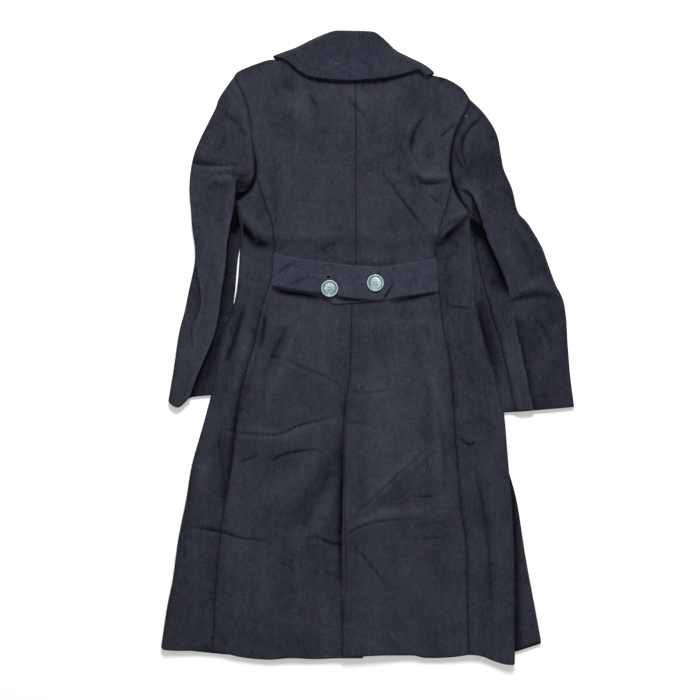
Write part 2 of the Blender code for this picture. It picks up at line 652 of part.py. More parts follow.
# ------------------------------------------------------------------ sleeves
def sleeve_rows(outer_edge, inner_edge, armhole, cuff):
    """Lines across a sleeve, from its outer to its inner edge, one for each row.

    The lines have as many points as the armhole. They are bowed like the armhole
    and the cuff at the ends of the sleeve, and soon straighten out between them.
    """
    outside, inside = spaced(outer_edge, SLEEVE_ROWS), spaced(inner_edge, SLEEVE_ROWS)
    run = lengths(armhole)
    shares = [distance / run[-1] for distance in run]
    cuff_line = smooth_line(cuff)
    cuff_run = lengths(cuff_line)
    cuff_points = [point_at(cuff_line, cuff_run, cuff_run[-1] * share) for share in shares]
    rows = []
    for r, (start, end) in enumerate(zip(outside, inside)):
        top_bow = max(1 - r / 3, 0.0)
        end_bow = max(1 - (SLEEVE_ROWS - r) / 3, 0.0)
        row = []
        for k, share in enumerate(shares):
            keep = top_bow * (1 - soft_step(share, 0.4, 0.72)) if r else 1.0
            row.append(tuple(
                start[i] + (end[i] - start[i]) * share
                + keep * bow(armhole, share, k, i) + end_bow * bow(cuff_points, share, k, i)
                for i in range(2)))
        rows.append(row)
    return rows


def bow(line, share, index, axis):
    """How far a point of a line stands off the straight line between its ends."""
    straight = line[0][axis] + (line[-1][axis] - line[0][axis]) * share
    return line[index][axis] - straight


def sleeve_pair(side, rows, under, material, collection):
    """The two pieces of a sleeve: the upper one and the narrower one beneath the arm."""
    upper, lower = ({}, {}), ({}, {})
    for r, line in enumerate(rows):
        run = lengths(line)
        back_line, back_run = line[::-1], [run[-1] - distance for distance in run[::-1]]

        def level(x, y, row=r):
            return under(x, y, row)

        hind, fore = len(line) - 1 - HINDARM_POINT, len(line) - 1 - FOREARM_POINT
        outer_half = rolled_section(line, line, seam_stops(run[:HINDARM_POINT + 1]),
                                    seam_stops(run[:FOREARM_POINT + 1]), level, floor_level)
        inner_half = rolled_section(back_line, back_line, seam_stops(back_run[:hind + 1]),
                                    seam_stops(back_run[:fore + 1]), level, floor_level)
        for points, half in ((upper, outer_half), (lower, inner_half)):
            for which in range(2):
                for c, point in enumerate(half[which]):
                    points[which][(r, c)] = point
    wall("sleeve_%s_upper" % side, *upper, material, collection)
    wall("sleeve_%s_under" % side, *lower, material, collection)


def seam_stops(run):
    """Distances from a rolled edge to a seam, stopping just short of it."""
    return [ROLL_START] + run[1:-1] + [run[-1] - SEAM]


FOLD_INNER_LEFT_LINE = smooth_line(FOLD_INNER_LEFT, 3)
FOLD_OUTER_LEFT_LINE = smooth_line(FOLD_OUTER_LEFT, 3)
FOLD_INNER_RIGHT_LINE = smooth_line(FOLD_INNER_RIGHT, 3)


def sleeve_left_under(x, y, row):
    """Underside of the left sleeve's top layer, with its two folded edges."""
    inner = side_distance(x, y, FOLD_INNER_LEFT_LINE)[0]
    outer, along = side_distance(x, y, FOLD_OUTER_LEFT_LINE)
    low_inner = soft_step(inner, -2, 10) * soft_step(row, 1.5, 5)
    low_outer = 0.0
    if 0.01 < along < 0.99:
        low_outer = (1 - soft_step(outer, -10, 2)) * math.sin(math.pi * along)
    free = LAYER + SLEEVE_FREE - SLEEVE_FOLD * max(low_inner, low_outer)
    free += fold_rise(x, y, SLEEVE_LEFT_FOLDS) * (1 - low_inner)
    join = soft_step(row, 0, JOIN_ROWS)
    return back_under(x, y) * (1 - join) + free * join


def sleeve_right_under(x, y, row):
    """Underside of the right sleeve's top layer, low where it goes under the body."""
    inner = side_distance(x, y, FOLD_INNER_RIGHT_LINE)[0]
    beside = abs(side_distance(x, y, SIDE_EDGE_RIGHT_LINE)[0])
    low_inner = (1 - soft_step(inner, -2, 12)) * (1 - soft_step(row, 13, 17))
    tucked = 1 - soft_step(beside, 14, 44)
    free = LAYER + SLEEVE_FREE - SLEEVE_FOLD * max(low_inner * 0.85, tucked)
    free += fold_rise(x, y, SLEEVE_RIGHT_FOLDS) * (1 - max(tucked, low_inner * 0.8))
    join = soft_step(row, 0, JOIN_ROWS)
    return back_under(x, y) * (1 - join) + free * join


def sleeves(material, collection):
    """Both sleeves, each a flattened tube of two pieces."""
    left_armhole = shifted(joined(ARMHOLE_LEFT, ARMPIT_LEFT), SEAM)
    left = sleeve_rows(SLEEVE_OUTER_LEFT, SLEEVE_INNER_LEFT, left_armhole, CUFF_LEFT)
    sleeve_pair("left", left, sleeve_left_under, material, collection)
    right_armhole = shifted(joined(ARMHOLE_RIGHT, ARMPIT_RIGHT), -SEAM)
    right = sleeve_rows(SLEEVE_OUTER_RIGHT, SLEEVE_INNER_RIGHT, right_armhole, CUFF_RIGHT)
    sleeve_pair("right", right, sleeve_right_under, material, collection)


# ------------------------------------------------------------------ collar
def collar_fall_under(x, y):
    """Underside of the fall: on the back, standing off towards its edge."""
    rest = BACK_LEVEL + LAYER + CLOTH + GAP
    across, down = x - COLLAR_CROWN[0], y - COLLAR_CROWN[1]
    distance = math.hypot(across * COLLAR_SQUASH, down)
    return rest + COLLAR_STAND_OFF + COLLAR_BULGE * soft_step(distance, 20, 92)


def collar(material, collection):
    """Stand, roll and fall in one wall; its front ends go under the coat."""
    rows = 26
    columns = list(zip(*COLLAR_SECTIONS))
    outline = spaced(list(zip(columns[0], columns[1])), rows)
    table_line = smooth_line(list(zip(columns[0], columns[1])))
    table_run = lengths(table_line)
    fall_line = smooth_line(list(zip(columns[2], columns[3])))
    under_line = smooth_line(list(zip(columns[4], columns[5])))
    level_line = smooth_line([(k, z) for k, z in enumerate(columns[6])])
    outer, inner = {}, {}
    for r, edge in enumerate(outline):
        distance = table_run[-1] * r / rows
        place = next(k for k, run in enumerate(table_run) if run >= distance - 1e-6)
        step = max(table_run[place] - table_run[place - 1], 1e-6) if place else 1.0
        share = (table_run[place] - distance) / step if place else 0.0

        def along(line):
            before = line[max(place - 1, 0)]
            return tuple(line[place][k] + (before[k] - line[place][k]) * share for k in range(2))

        fall, under = along(fall_line), along(under_line)
        level = max(along(level_line)[1], 0.0)
        width = math.dist(edge, fall)
        section = rolled_section([edge, fall], [edge, under], stops(9.0, width, 5),
                                 stops(9.0, math.dist(edge, under), 3),
                                 collar_fall_under, lambda x, y: level)
        for c, (out_point, in_point) in enumerate(zip(*section)):
            outer[(r, c)] = out_point
            inner[(r, c)] = in_point
    return wall("collar", outer, inner, material, collection)


# ------------------------------------------------------------------ half belt and buttons
def belt_half(name, top, bottom, point, rise, material, collection):
    """A tab of the half belt, lying on the back, with a pointed end."""
    columns, rows = 4, 16
    upper, lower = spaced(top, rows), spaced(bottom, rows)
    outer, inner = {}, {}
    for r in range(rows + 1):
        share = r / rows
        for c in range(columns + 1):
            t = c / columns
            x = upper[r][0] + (lower[r][0] - upper[r][0]) * t
            y = upper[r][1] + (lower[r][1] - upper[r][1]) * t
            reach = max(share - 0.7, 0.0) / 0.3 * (1 - abs(2 * t - 1))
            x += (point[0] - (upper[-1][0] + lower[-1][0]) / 2) * reach
            low = max(back_under(x, y), back_right_under(x, y)) + CLOTH + BELT_REST + rise(x)
            outer[(r, c)] = (x, y, low + CLOTH)
            inner[(r, c)] = (x, y, low)
    return wall(name, outer, inner, material, collection)


def belt_left_rise(x):
    """The top tab climbs from its seam over the other tab."""
    return LAYER * soft_step(x, *BELT_CLIMB_X)


def belt_right_rise(_x):
    """The lower tab lies on the back."""
    return 0.0


def button(name, centre, bottom, material, collection):
    """A four-hole button with a raised rim, turned from a profile and then drilled."""
    radius = BUTTON_DIAMETER / 2
    profile = [(0.0, 2.9), (9.6, 2.9), (11.4, BUTTON_THICKNESS - 0.3), (12.8, BUTTON_THICKNESS),
               (14.4, BUTTON_THICKNESS - 0.6), (radius, 2.8), (13.8, 0.8), (10.0, 0.0), (0.0, 0.0)]
    data = bpy.data.meshes.new(name)
    points = [(r * METRE, 0.0, z * METRE) for r, z in profile]
    data.from_pydata(points, [(k, k + 1) for k in range(len(points) - 1)], [])
    piece = bpy.data.objects.new(name, data)
    collection.objects.link(piece)
    screw = piece.modifiers.new("turn", "SCREW")
    screw.steps = 24
    screw.render_steps = 24
    screw.use_merge_vertices = True
    screw.merge_threshold = 0.00001
    piece.location = (centre[0] * METRE, centre[1] * METRE, bottom * METRE)
    data.materials.append(material)
    return piece


def drill(piece, cutters):
    """Cut the four thread holes."""
    for quarter in range(4):
        angle = math.pi / 4 + quarter * math.pi / 2
        mesh = bmesh.new()
        bmesh.ops.create_cone(mesh, cap_ends=True, segments=12, radius1=BUTTON_HOLE / 2 * METRE,
                              radius2=BUTTON_HOLE / 2 * METRE, depth=20 * METRE)
        data = bpy.data.meshes.new("thread_hole")
        mesh.to_mesh(data)
        mesh.free()
        cutter = bpy.data.objects.new("thread_hole", data)
        reach = BUTTON_HOLE_CIRCLE / 2 * METRE
        cutter.location = (piece.location.x + reach * math.cos(angle),
                           piece.location.y + reach * math.sin(angle), piece.location.z)
        cutter.hide_render = True
        cutter.display_type = "WIRE"
        cutters.objects.link(cutter)
        cut = piece.modifiers.new("hole", "BOOLEAN")
        cut.object = cutter
        cut.operation = "DIFFERENCE"


def main():
    """Build the whole coat."""
    for item in list(bpy.data.objects):
        bpy.data.objects.remove(item)
    coat = bpy.data.collections.new("overcoat")
    cutters = bpy.data.collections.new("cutters")
    bpy.context.scene.collection.children.link(coat)
    bpy.context.scene.collection.children.link(cutters)
    wool = new_material("navy_wool", (0.012, 0.014, 0.022), 0.95)
    horn = new_material("marbled_button", (0.16, 0.27, 0.27), 0.3)
    for piece in (back_left, back_right, side_left, side_right, front_left, front_right, sleeves,
                  collar):
        piece(wool, coat)
    belt_half("belt_right", BELT_RIGHT_TOP, BELT_RIGHT_BOTTOM, BELT_RIGHT_POINT,
              belt_right_rise, wool, coat)
    belt_half("belt_left", BELT_LEFT_TOP, BELT_LEFT_BOTTOM, BELT_LEFT_POINT,
              belt_left_rise, wool, coat)
    for name, centre in BUTTON_CENTRES.items():
        seat = BACK_LEVEL + 2 * CLOTH + BELT_REST + LAYER + GAP
        drill(button(name, centre, seat, horn, coat), cutters)


main()
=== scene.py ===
# %% [markdown]
# # A heavy wool overcoat, laid out with its back up
#
# The real thing is a long coat of milled navy wool, thick and soft, with a half belt and two
# pearly buttons across the small of the back. It lies face down on a pale floor, neck away from
# us. This lesson dresses its solid model: every panel is made again as a thin shell with the
# creases that the real cloth took, then gets its nap, its stitches and its lint.
#
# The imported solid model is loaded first. Its box is kept, to compare at the end.

# %% Load the solid model
import math

import bmesh
import bpy
import numpy as np
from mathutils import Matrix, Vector
from mathutils.bvhtree import BVHTree


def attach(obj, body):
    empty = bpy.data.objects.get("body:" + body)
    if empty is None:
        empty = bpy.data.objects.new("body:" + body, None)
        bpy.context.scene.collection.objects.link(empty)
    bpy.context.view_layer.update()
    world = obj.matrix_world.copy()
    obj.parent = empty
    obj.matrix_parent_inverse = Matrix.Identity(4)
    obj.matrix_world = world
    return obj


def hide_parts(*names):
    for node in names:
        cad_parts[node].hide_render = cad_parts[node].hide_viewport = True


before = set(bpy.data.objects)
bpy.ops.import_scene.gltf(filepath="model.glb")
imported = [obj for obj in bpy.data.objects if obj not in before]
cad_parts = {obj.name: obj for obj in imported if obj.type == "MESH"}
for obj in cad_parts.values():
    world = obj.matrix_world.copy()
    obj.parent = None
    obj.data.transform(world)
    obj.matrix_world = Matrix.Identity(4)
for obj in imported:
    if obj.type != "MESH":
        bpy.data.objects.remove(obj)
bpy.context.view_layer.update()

# %% [markdown]
# ## Camera, light and floor
#
# The coat is seen straight from above. The camera stands three metres up, and its lens is
# worked out from the width that the picture covers, so the coat fills the frame as it should.
# A soft panel beyond the neck and a second one overhead give each crease a lit side and a
# shaded one. Two weak panels at the sides and a pale world keep the shadows from going black.

# %% Camera
MM = 0.001
CAMERA_HEIGHT = 3.0
SENSOR_WIDTH = 36.0
PICTURE_WIDTH = 1.26       # metres of floor across the picture, at the height of the cloth
PICTURE_MIDDLE = (-0.0315, -0.0054)
CLOTH_HEIGHT = 0.010


def add_object(name, data):
    """A new object in the scene."""
    piece = bpy.data.objects.new(name, data)
    bpy.context.scene.collection.objects.link(piece)
    return piece


camera_data = bpy.data.cameras.new("camera")
camera_data.sensor_width = SENSOR_WIDTH
camera_data.lens = SENSOR_WIDTH * (CAMERA_HEIGHT - CLOTH_HEIGHT) / PICTURE_WIDTH
camera_data.clip_end = 60.0
camera = add_object("camera", camera_data)
camera.location = (*PICTURE_MIDDLE, CAMERA_HEIGHT)
bpy.context.scene.camera = camera
print("lens: %.1f mm" % camera_data.lens)

# %% Lights
for name, place, size, watts in (("light_beyond_neck", (0.15, 2.3, 2.5), 1.1, 112),
                                 ("light_left", (-3.2, 0.2, 1.8), 1.8, 9),
                                 ("light_right", (3.2, 0.2, 1.8), 1.8, 9),
                                 ("light_above", (0.0, -0.5, 4.6), 1.8, 92)):
    light = bpy.data.lights.new(name, "AREA")
    light.shape = "SQUARE"
    light.size = size
    light.energy = watts
    lamp = add_object(name, light)
    lamp.location = place
    lamp.rotation_euler = (-Vector(place)).to_track_quat("-Z", "Y").to_euler()

world = bpy.data.worlds.new("studio")
world.use_nodes = True
sky = world.node_tree.nodes["Background"].inputs
sky["Color"].default_value = (0.93, 0.95, 1.0, 1.0)
sky["Strength"].default_value = 0.12
bpy.context.scene.world = world
bpy.context.scene.view_settings.view_transform = "Standard"
print("four light panels and a pale world")


# %% Floor
def new_shader(name, **constants):
    """A material and its Principled shader, with constants set straight on the sockets."""
    material = bpy.data.materials.new(name)
    material.use_nodes = True
    shader = material.node_tree.nodes["Principled BSDF"]
    for label, value in constants.items():
        shader.inputs[label.replace("_", " ")].default_value = value
    return material, shader


FLOOR_HALF = 6.0
floor_mesh = bpy.data.meshes.new("floor")
floor_mesh.from_pydata([(x * FLOOR_HALF, y * FLOOR_HALF, 0)
                        for x, y in ((-1, -1), (1, -1), (1, 1), (-1, 1))], [], [(0, 1, 2, 3)])
floor_mesh.materials.append(
    new_shader("pale_floor", Base_Color=(0.97, 0.97, 0.97, 1.0), Roughness=0.9)[0])
floor = add_object("floor", floor_mesh)
floor.location.z = -0.0005
print("floor: %.0f m square" % (2 * FLOOR_HALF))

# %% [markdown]
# ## Lines
#
# A coat is described by its seams and edges. Each line below is a short table of points in
# millimetres, left of the wearer at -x and neck at +y, from neck to hem or from left to right.
# Nearly all are the lines of the solid model, so each shell lies on its own solid. A few edges
# of the sleeves and the left side are drawn a little closer to what shows.

# %% Seam and edge lines
ARMHOLE_LEFT = [
    (-240, 488), (-226, 459), (-216, 430), (-211, 402), (-208, 374), (-204, 348), (-201, 326),
    (-202, 308)]
ARMHOLE_RIGHT = [
    (184, 447), (178, 428), (168, 409), (159, 387), (153, 363), (149, 340), (149, 319), (153, 300)]
ARMPIT_LEFT = [(-202, 308), (-206, 293), (-215, 281), (-226, 272), (-238, 262)]
ARMPIT_RIGHT = [(153, 300), (156, 288), (161, 276), (169, 264), (179, 250)]
SIDE_SEAM_POINT = 2      # which armpit point the side seams start from
HINDARM_POINT = 8        # which point of armhole and armpit the sleeve's upper seam starts from
FOREARM_POINT = 5        # and the hidden seam underneath
SIDE_BACK_LEFT = [
    (-202, 308), (-197, 297), (-183, 254), (-171, 221), (-168, 174), (-171, 135), (-179, 105),
    (-192, 67), (-202, 11), (-219, -47), (-233, -113), (-245, -211), (-261, -310), (-273, -423),
    (-278, -549)]
SIDE_BACK_RIGHT = [
    (153, 300), (143, 256), (134, 230), (124, 184), (123, 150), (129, 99), (139, 17), (147, -19),
    (154, -99), (159, -180), (169, -296), (177, -352), (179, -453), (182, -554)]
CENTRE_BACK = [
    (-22, 517), (-22, 400), (-22, 300), (-22, 153), (-28, 79), (-33, -49), (-39, -99), (-41, -180),
    (-43, -230), (-41, -331), (-39, -423), (-44, -468), (-46, -560)]
SIDE_EDGE_LEFT = [
    (-238, 262), (-233, 238), (-229, 208), (-230, 175), (-232.5, 130), (-237, 94), (-244, 67),
    (-264, 4), (-272, -38), (-280, -79), (-296, -140), (-316, -211), (-326, -271), (-341, -347),
    (-351, -418), (-361, -468), (-372, -541)]
SIDE_EDGE_RIGHT = [
    (179, 250), (184, 223), (188, 175), (194, 103), (196, 68), (205, 31), (217, -14), (229, -54),
    (245, -118), (251, -180), (256, -241), (260, -291), (264, -402), (265, -571)]
UNDER_EDGE_RIGHT = [
    (179, 250), (176, 223), (174, 175), (180, 103), (182, 68), (191, 31), (203, -14), (215, -54),
    (232, -118), (242, -180), (254, -221), (270, -281), (285, -377), (300, -458), (314, -534)]
SIDE_SEAM_LEFT = [
    (-215, 281), (-203, 240), (-194, 175), (-198, 103), (-215, 41), (-236, -38), (-262, -145),
    (-290, -271), (-314, -418), (-333, -547)]
SIDE_SEAM_RIGHT = [
    (161, 276), (150, 223), (146, 175), (152, 103), (165, 31), (187, -54), (202, -180),
    (212, -291), (216, -402), (218, -562)]
SHOULDER_LEFT = [
    (-240, 488), (-232, 496), (-205, 508), (-180, 516), (-160, 518), (-132, 529), (-103, 534),
    (-78, 522), (-50, 518), (-22, 517)]
SHOULDER_RIGHT = [
    (-22, 517), (10, 518), (36, 518), (60, 512), (90, 500), (112, 490), (126, 487), (144, 482),
    (170, 466), (184, 447)]
FRONT_TOP_LEFT = [
    (-240, 488), (-232, 496), (-205, 508), (-180, 513), (-160, 512), (-132, 519), (-110, 506),
    (-80, 476), (-22, 455), (45, 450)]
FRONT_TOP_RIGHT = [
    (-89, 450), (-22, 455), (30, 474), (60, 488), (90, 487), (112, 479), (128, 481), (144, 480),
    (170, 466), (184, 447)]
HEM_LEFT = [
    (-278, -549), (-260, -551), (-225, -559), (-179, -563), (-139, -560), (-93, -562), (-46, -560)]
HEM_RIGHT = [
    (-46, -560), (13, -555), (60, -555), (84, -555.5), (104, -559.5), (144, -559), (182, -554)]
HEM_SIDE_LEFT = [(-278, -549), (-301, -547), (-341, -547), (-366, -545), (-372, -541)]
HEM_SIDE_RIGHT = [(182, -554), (204, -556), (230, -566), (250, -571), (265, -571)]

SLEEVE_OUTER_LEFT = [
    (-240, 488), (-255, 467), (-268, 447), (-274, 430), (-288, 402), (-301, 376), (-313, 346),
    (-318, 322), (-321, 285), (-318, 245), (-316, 215), (-311, 180), (-312, 150), (-322, 103),
    (-330, 64), (-340, 25), (-349, -38), (-359, -98)]
SLEEVE_INNER_LEFT = [
    (-238, 262), (-232.5, 238), (-228, 208), (-229.5, 184), (-233, 165), (-235.5, 140),
    (-238, 108), (-241, 84), (-244, 67), (-264, 4), (-272, -38), (-280, -79), (-281.5, -87)]
CUFF_LEFT = [(-359, -98), (-350, -106), (-340, -109), (-330, -101), (-318, -91), (-281.5, -87)]
FOLD_INNER_LEFT = [
    (-222, 316), (-232, 307), (-238, 292), (-240, 272), (-242, 254), (-248, 223), (-255, 182),
    (-258, 141), (-265, 97), (-270, 58), (-277, 22), (-291, -14), (-307, -52), (-318, -84),
    (-322, -100)]
FOLD_OUTER_LEFT = [
    (-312, 172), (-311, 163), (-305, 135), (-298, 86), (-303, 58), (-314, 36), (-314, -5)]

SLEEVE_OUTER_RIGHT = [
    (184, 447), (211, 420), (233, 384), (241, 344), (246, 320), (261, 284), (271, 244), (289, 223),
    (313, 183), (325, 151), (338, 115), (352, 87), (358, 55), (361, 6), (366, -54), (373, -108)]
SLEEVE_INNER_RIGHT = [
    (179, 250), (180, 236), (179.5, 222), (178.5, 190), (178.5, 165), (181, 135), (186, 103),
    (189, 68), (197, 31), (209, -14), (221, -54), (238, -119)]
CUFF_RIGHT = [(373, -108), (305, -114), (238, -119)]
FOLD_INNER_RIGHT = [
    (166, 281), (178, 281), (188, 273), (195, 260), (204, 236), (213, 209), (222, 183), (237, 151),
    (249, 119), (257, 84)]
ROLL_RIGHT = [(168, 268), (174, 254), (180, 243), (189, 231), (200, 221), (212, 212)]

COLLAR_OUTLINE = [
    (-171, 523), (-156, 529), (-129, 539), (-107, 550), (-88, 559), (-62, 568), (-42, 569),
    (-22, 568.5), (-2, 568), (14, 565.5), (30, 554), (50, 535), (72, 523), (95, 512), (110, 503),
    (121, 493)]
COLLAR_FALL = [
    (-154, 519), (-142, 512), (-125, 497), (-104, 486), (-82, 482), (-60, 480), (-42, 479),
    (-22, 479), (0, 480.5), (20, 482), (42, 485), (62, 490), (79, 495), (92, 497), (101, 489),
    (106, 487)]
COLLAR_UNDER = [
    (-152, 502, 0), (-134, 480, 0), (-112, 462, 0), (-92, 466, 0), (-84, 515, 0), (-66, 529, 10.2),
    (-44, 525, 10.2), (-22, 523, 10.2), (0, 525, 10.2), (18, 527, 10.2), (34, 524, 5),
    (52, 490, 0), (66, 458, 0), (88, 462, 0), (100, 474, 0), (108, 480, 0)]
BELT_LEFT_TOP = [(-168, 170), (-139, 162), (-104, 157), (-68, 152), (-28, 147), (28, 144)]
BELT_LEFT_BOTTOM = [(-173, 111), (-109, 100), (-68, 96), (-43, 90), (-8, 86), (25, 84)]
BELT_LEFT_POINT = (45, 115)
BELT_RIGHT_TOP = [(123, 160), (83, 153), (53, 148), (20, 143), (-20, 139), (-63, 137)]
BELT_RIGHT_BOTTOM = [(128, 100), (93, 95), (58, 90), (25, 83), (-8, 80), (-63, 77)]
BELT_RIGHT_POINT = (-85, 103)
print("lines: armholes, side, centre and hem seams, sleeves, collar, belt")


# %% Smooth lines and places along them
def even(count):
    """Even steps from 0 to 1."""
    return np.linspace(0, 1, count)


def smooth_line(points, steps=10):
    """A dense smooth line through a table (Catmull-Rom)."""
    points = np.array(points, float)
    start, end = points[:-1], points[1:]
    before = np.vstack([points[:1], points[:-2]])
    after = np.vstack([points[2:], points[-1:]])
    slope_in, slope_out = (end - before) / 2, (after - start) / 2
    a = 2 * start - 2 * end + slope_in + slope_out
    b = -3 * start + 3 * end - 2 * slope_in - slope_out
    t = (np.arange(steps) / steps)[None, :, None]
    line = ((a[:, None] * t + b[:, None]) * t + slope_in[:, None]) * t + start[:, None]
    return np.vstack([line.reshape(-1, points.shape[1]), points[-1:]])


def steps_of(points, axis):
    """Distances between neighbouring points of a line or a grid."""
    return np.linalg.norm(np.diff(points, axis=axis), axis=-1)


def lengths(line):
    """Distance from the start of a line to each of its points."""
    return np.concatenate([[0.0], np.cumsum(steps_of(np.asarray(line, float)[:, :2], 0))])


def places(line, distances):
    """Points of a line at distances from its start."""
    line = np.asarray(line, float)
    run = lengths(line)
    return np.stack([np.interp(distances, run, line[:, k]) for k in range(line.shape[1])], 1)


def spaced(points, shares):
    """Points of the smooth line through a table, at shares of its length."""
    line = smooth_line(points)
    return places(line, np.asarray(shares) * lengths(line)[-1])


def joined(*lines):
    """Lines that follow each other, with their shared end points kept once."""
    return np.vstack([np.asarray(lines[0], float)] + [np.asarray(l, float)[1:] for l in lines[1:]])


def shifted(line, distance):
    """A line moved sideways, to the right of its direction."""
    line = np.asarray(line, float)
    step = np.vstack([line[1:], line[-1:]]) - np.vstack([line[:1], line[:-1]])
    step /= np.maximum(np.linalg.norm(step, axis=1, keepdims=True), 1e-9)
    return line + np.stack([step[:, 1], -step[:, 0]], 1) * distance


def patch(left, right, top, bottom, across):
    """Points that fill four boundary lines (a Coons patch). across: shares of the columns."""
    down = even(len(left))[:, None, None]
    u = np.asarray(across)[None, :, None]
    sides = (1 - u) * left[:, None] + u * right[:, None]
    ends = (1 - down) * top[None] + down * bottom[None]
    corners = ((1 - u) * (1 - down) * top[0] + u * (1 - down) * top[-1]
               + (1 - u) * down * bottom[0] + u * down * bottom[-1])
    return sides + ends - corners


FINE = np.array([0.0, 0.7, 1.6, 3.0])   # distances from a seam of its closest points, in mm


def column_shares(width, cell):
    """Shares across a panel, closer together at its seams, where the edge is rounded."""
    end = width - FINE[::-1]
    count = max(int(round((end[0] - FINE[-1]) / cell)), 1)
    middle = np.linspace(FINE[-1], end[0], count + 1)[1:-1]
    return np.concatenate([FINE, middle, end]) / width


def fine_end(length, cell):
    """Shares of a length, closer together at its far end: a hem or a seam."""
    flat = length - FINE[-1]
    count = max(int(round(flat / cell)), 2)
    return np.concatenate([np.linspace(0, flat, count + 1), length - FINE[2::-1]]) / length


print("helpers for lines and patches are ready")

# %% [markdown]
# ## How high the cloth lies
#
# The coat has two layers over the floor, the fronts and then the back, and more where the
# collar's ends and the pleat lie between them. A height is worked out for every place from
# soft steps. On top of that come the creases, each one a short line with its own height and
# its own reach to either side: a small reach gives a sharp side, a large one a soft side.


# %% Steps and distances
def soft_step(value, low, high):
    """0 below low, 1 above high, and a smooth rise between."""
    t = np.clip((value - low) / (high - low), 0.0, 1.0)
    return t * t * (3 - 2 * t)


def side_distance(x, y, line):
    """Signed distance to a line (positive on its left) and the place along it, 0 to 1."""
    line = np.asarray(line, float)
    nearest = np.full(np.shape(x), 1e9)
    side = np.ones(np.shape(x))
    along = np.zeros(np.shape(x))
    for index, (start, end) in enumerate(zip(line, line[1:])):
        step = end - start
        t = np.clip(((x - start[0]) * step[0] + (y - start[1]) * step[1]) / (step @ step), 0, 1)
        off_x, off_y = x - start[0] - step[0] * t, y - start[1] - step[1] * t
        distance = np.hypot(off_x, off_y)
        closer = distance < nearest
        nearest = np.where(closer, distance, nearest)
        side = np.where(closer, np.where(step[0] * off_y - step[1] * off_x >= 0, 1.0, -1.0), side)
        along = np.where(closer, (index + t) / (len(line) - 1), along)
    return nearest * side, along


def away_from(x, y, line):
    """Distance to a line, whichever side a place is on."""
    return np.abs(side_distance(x, y, line)[0])


# %% The large folds, as in the solid model
BACK_FOLDS = [
    ([(-240, 266), (-224, 224), (-197, 192), (-172, 180)], 6.0, 40, 5),
    ([(181, 244), (157, 221), (138, 203), (129, 182)], 6.0, 5, 38),
    ([(70, 322), (102, 306), (150, 306)], 4.0, 22, 11),
    ([(100, 372), (84, 345), (92, 318)], 3.5, 16, 14),
    ([(-150, 455), (-128, 425), (-112, 400)], 2.5, 20, 14),
    ([(-134, 16), (-150, -36), (-176, -92)], 4.5, 26, 15),
    ([(-66, -150), (-118, -232), (-196, -286)], 4.0, 22, 30),
    ([(-60, -262), (-100, -330), (-170, -372)], 3.5, 24, 24),
    ([(-226, -152), (-150, -160), (-78, -132)], 3.0, 12, 24),
    ([(-30, -328), (30, -300), (108, -296)], 3.0, 12, 24),
    ([(-14, -298), (40, -240), (100, -190)], 2.5, 18, 12),
    ([(104, 40), (124, -99), (138, -296)], 4.0, 17, 15),
    ([(216, -180), (226, -300), (236, -480)], 3.5, 18, 22),
    ([(-282, -160), (-306, -300), (-322, -480)], 3.5, 20, 22),
    ([(-214, 60), (-232, -30), (-256, -140)], 3.0, 16, 14),
]
SLEEVE_LEFT_FOLDS = [
    ([(-308, 336), (-268, 322), (-226, 324)], 4.0, 20, 12),
    ([(-282, 304), (-248, 304), (-222, 292)], 4.0, 14, 10),
    ([(-300, 232), (-288, 160), (-286, 96)], 3.5, 12, 18),
    ([(-300, 20), (-318, -30), (-338, -90)], 2.5, 16, 16),
]
SLEEVE_RIGHT_FOLDS = [
    ([(160, 306), (184, 286), (206, 240)], 5.0, 16, 12),
    ([(192, 400), (172, 372), (168, 332)], 3.5, 14, 14),
    ([(226, 226), (256, 160), (282, 110)], 3.5, 22, 18),
    ([(262, 98), (300, 110), (344, 104)], 3.0, 18, 10),
    ([(330, 20), (322, -16), (300, -60)], 2.5, 18, 14),
]
print("large folds:", len(BACK_FOLDS) + len(SLEEVE_LEFT_FOLDS) + len(SLEEVE_RIGHT_FOLDS))

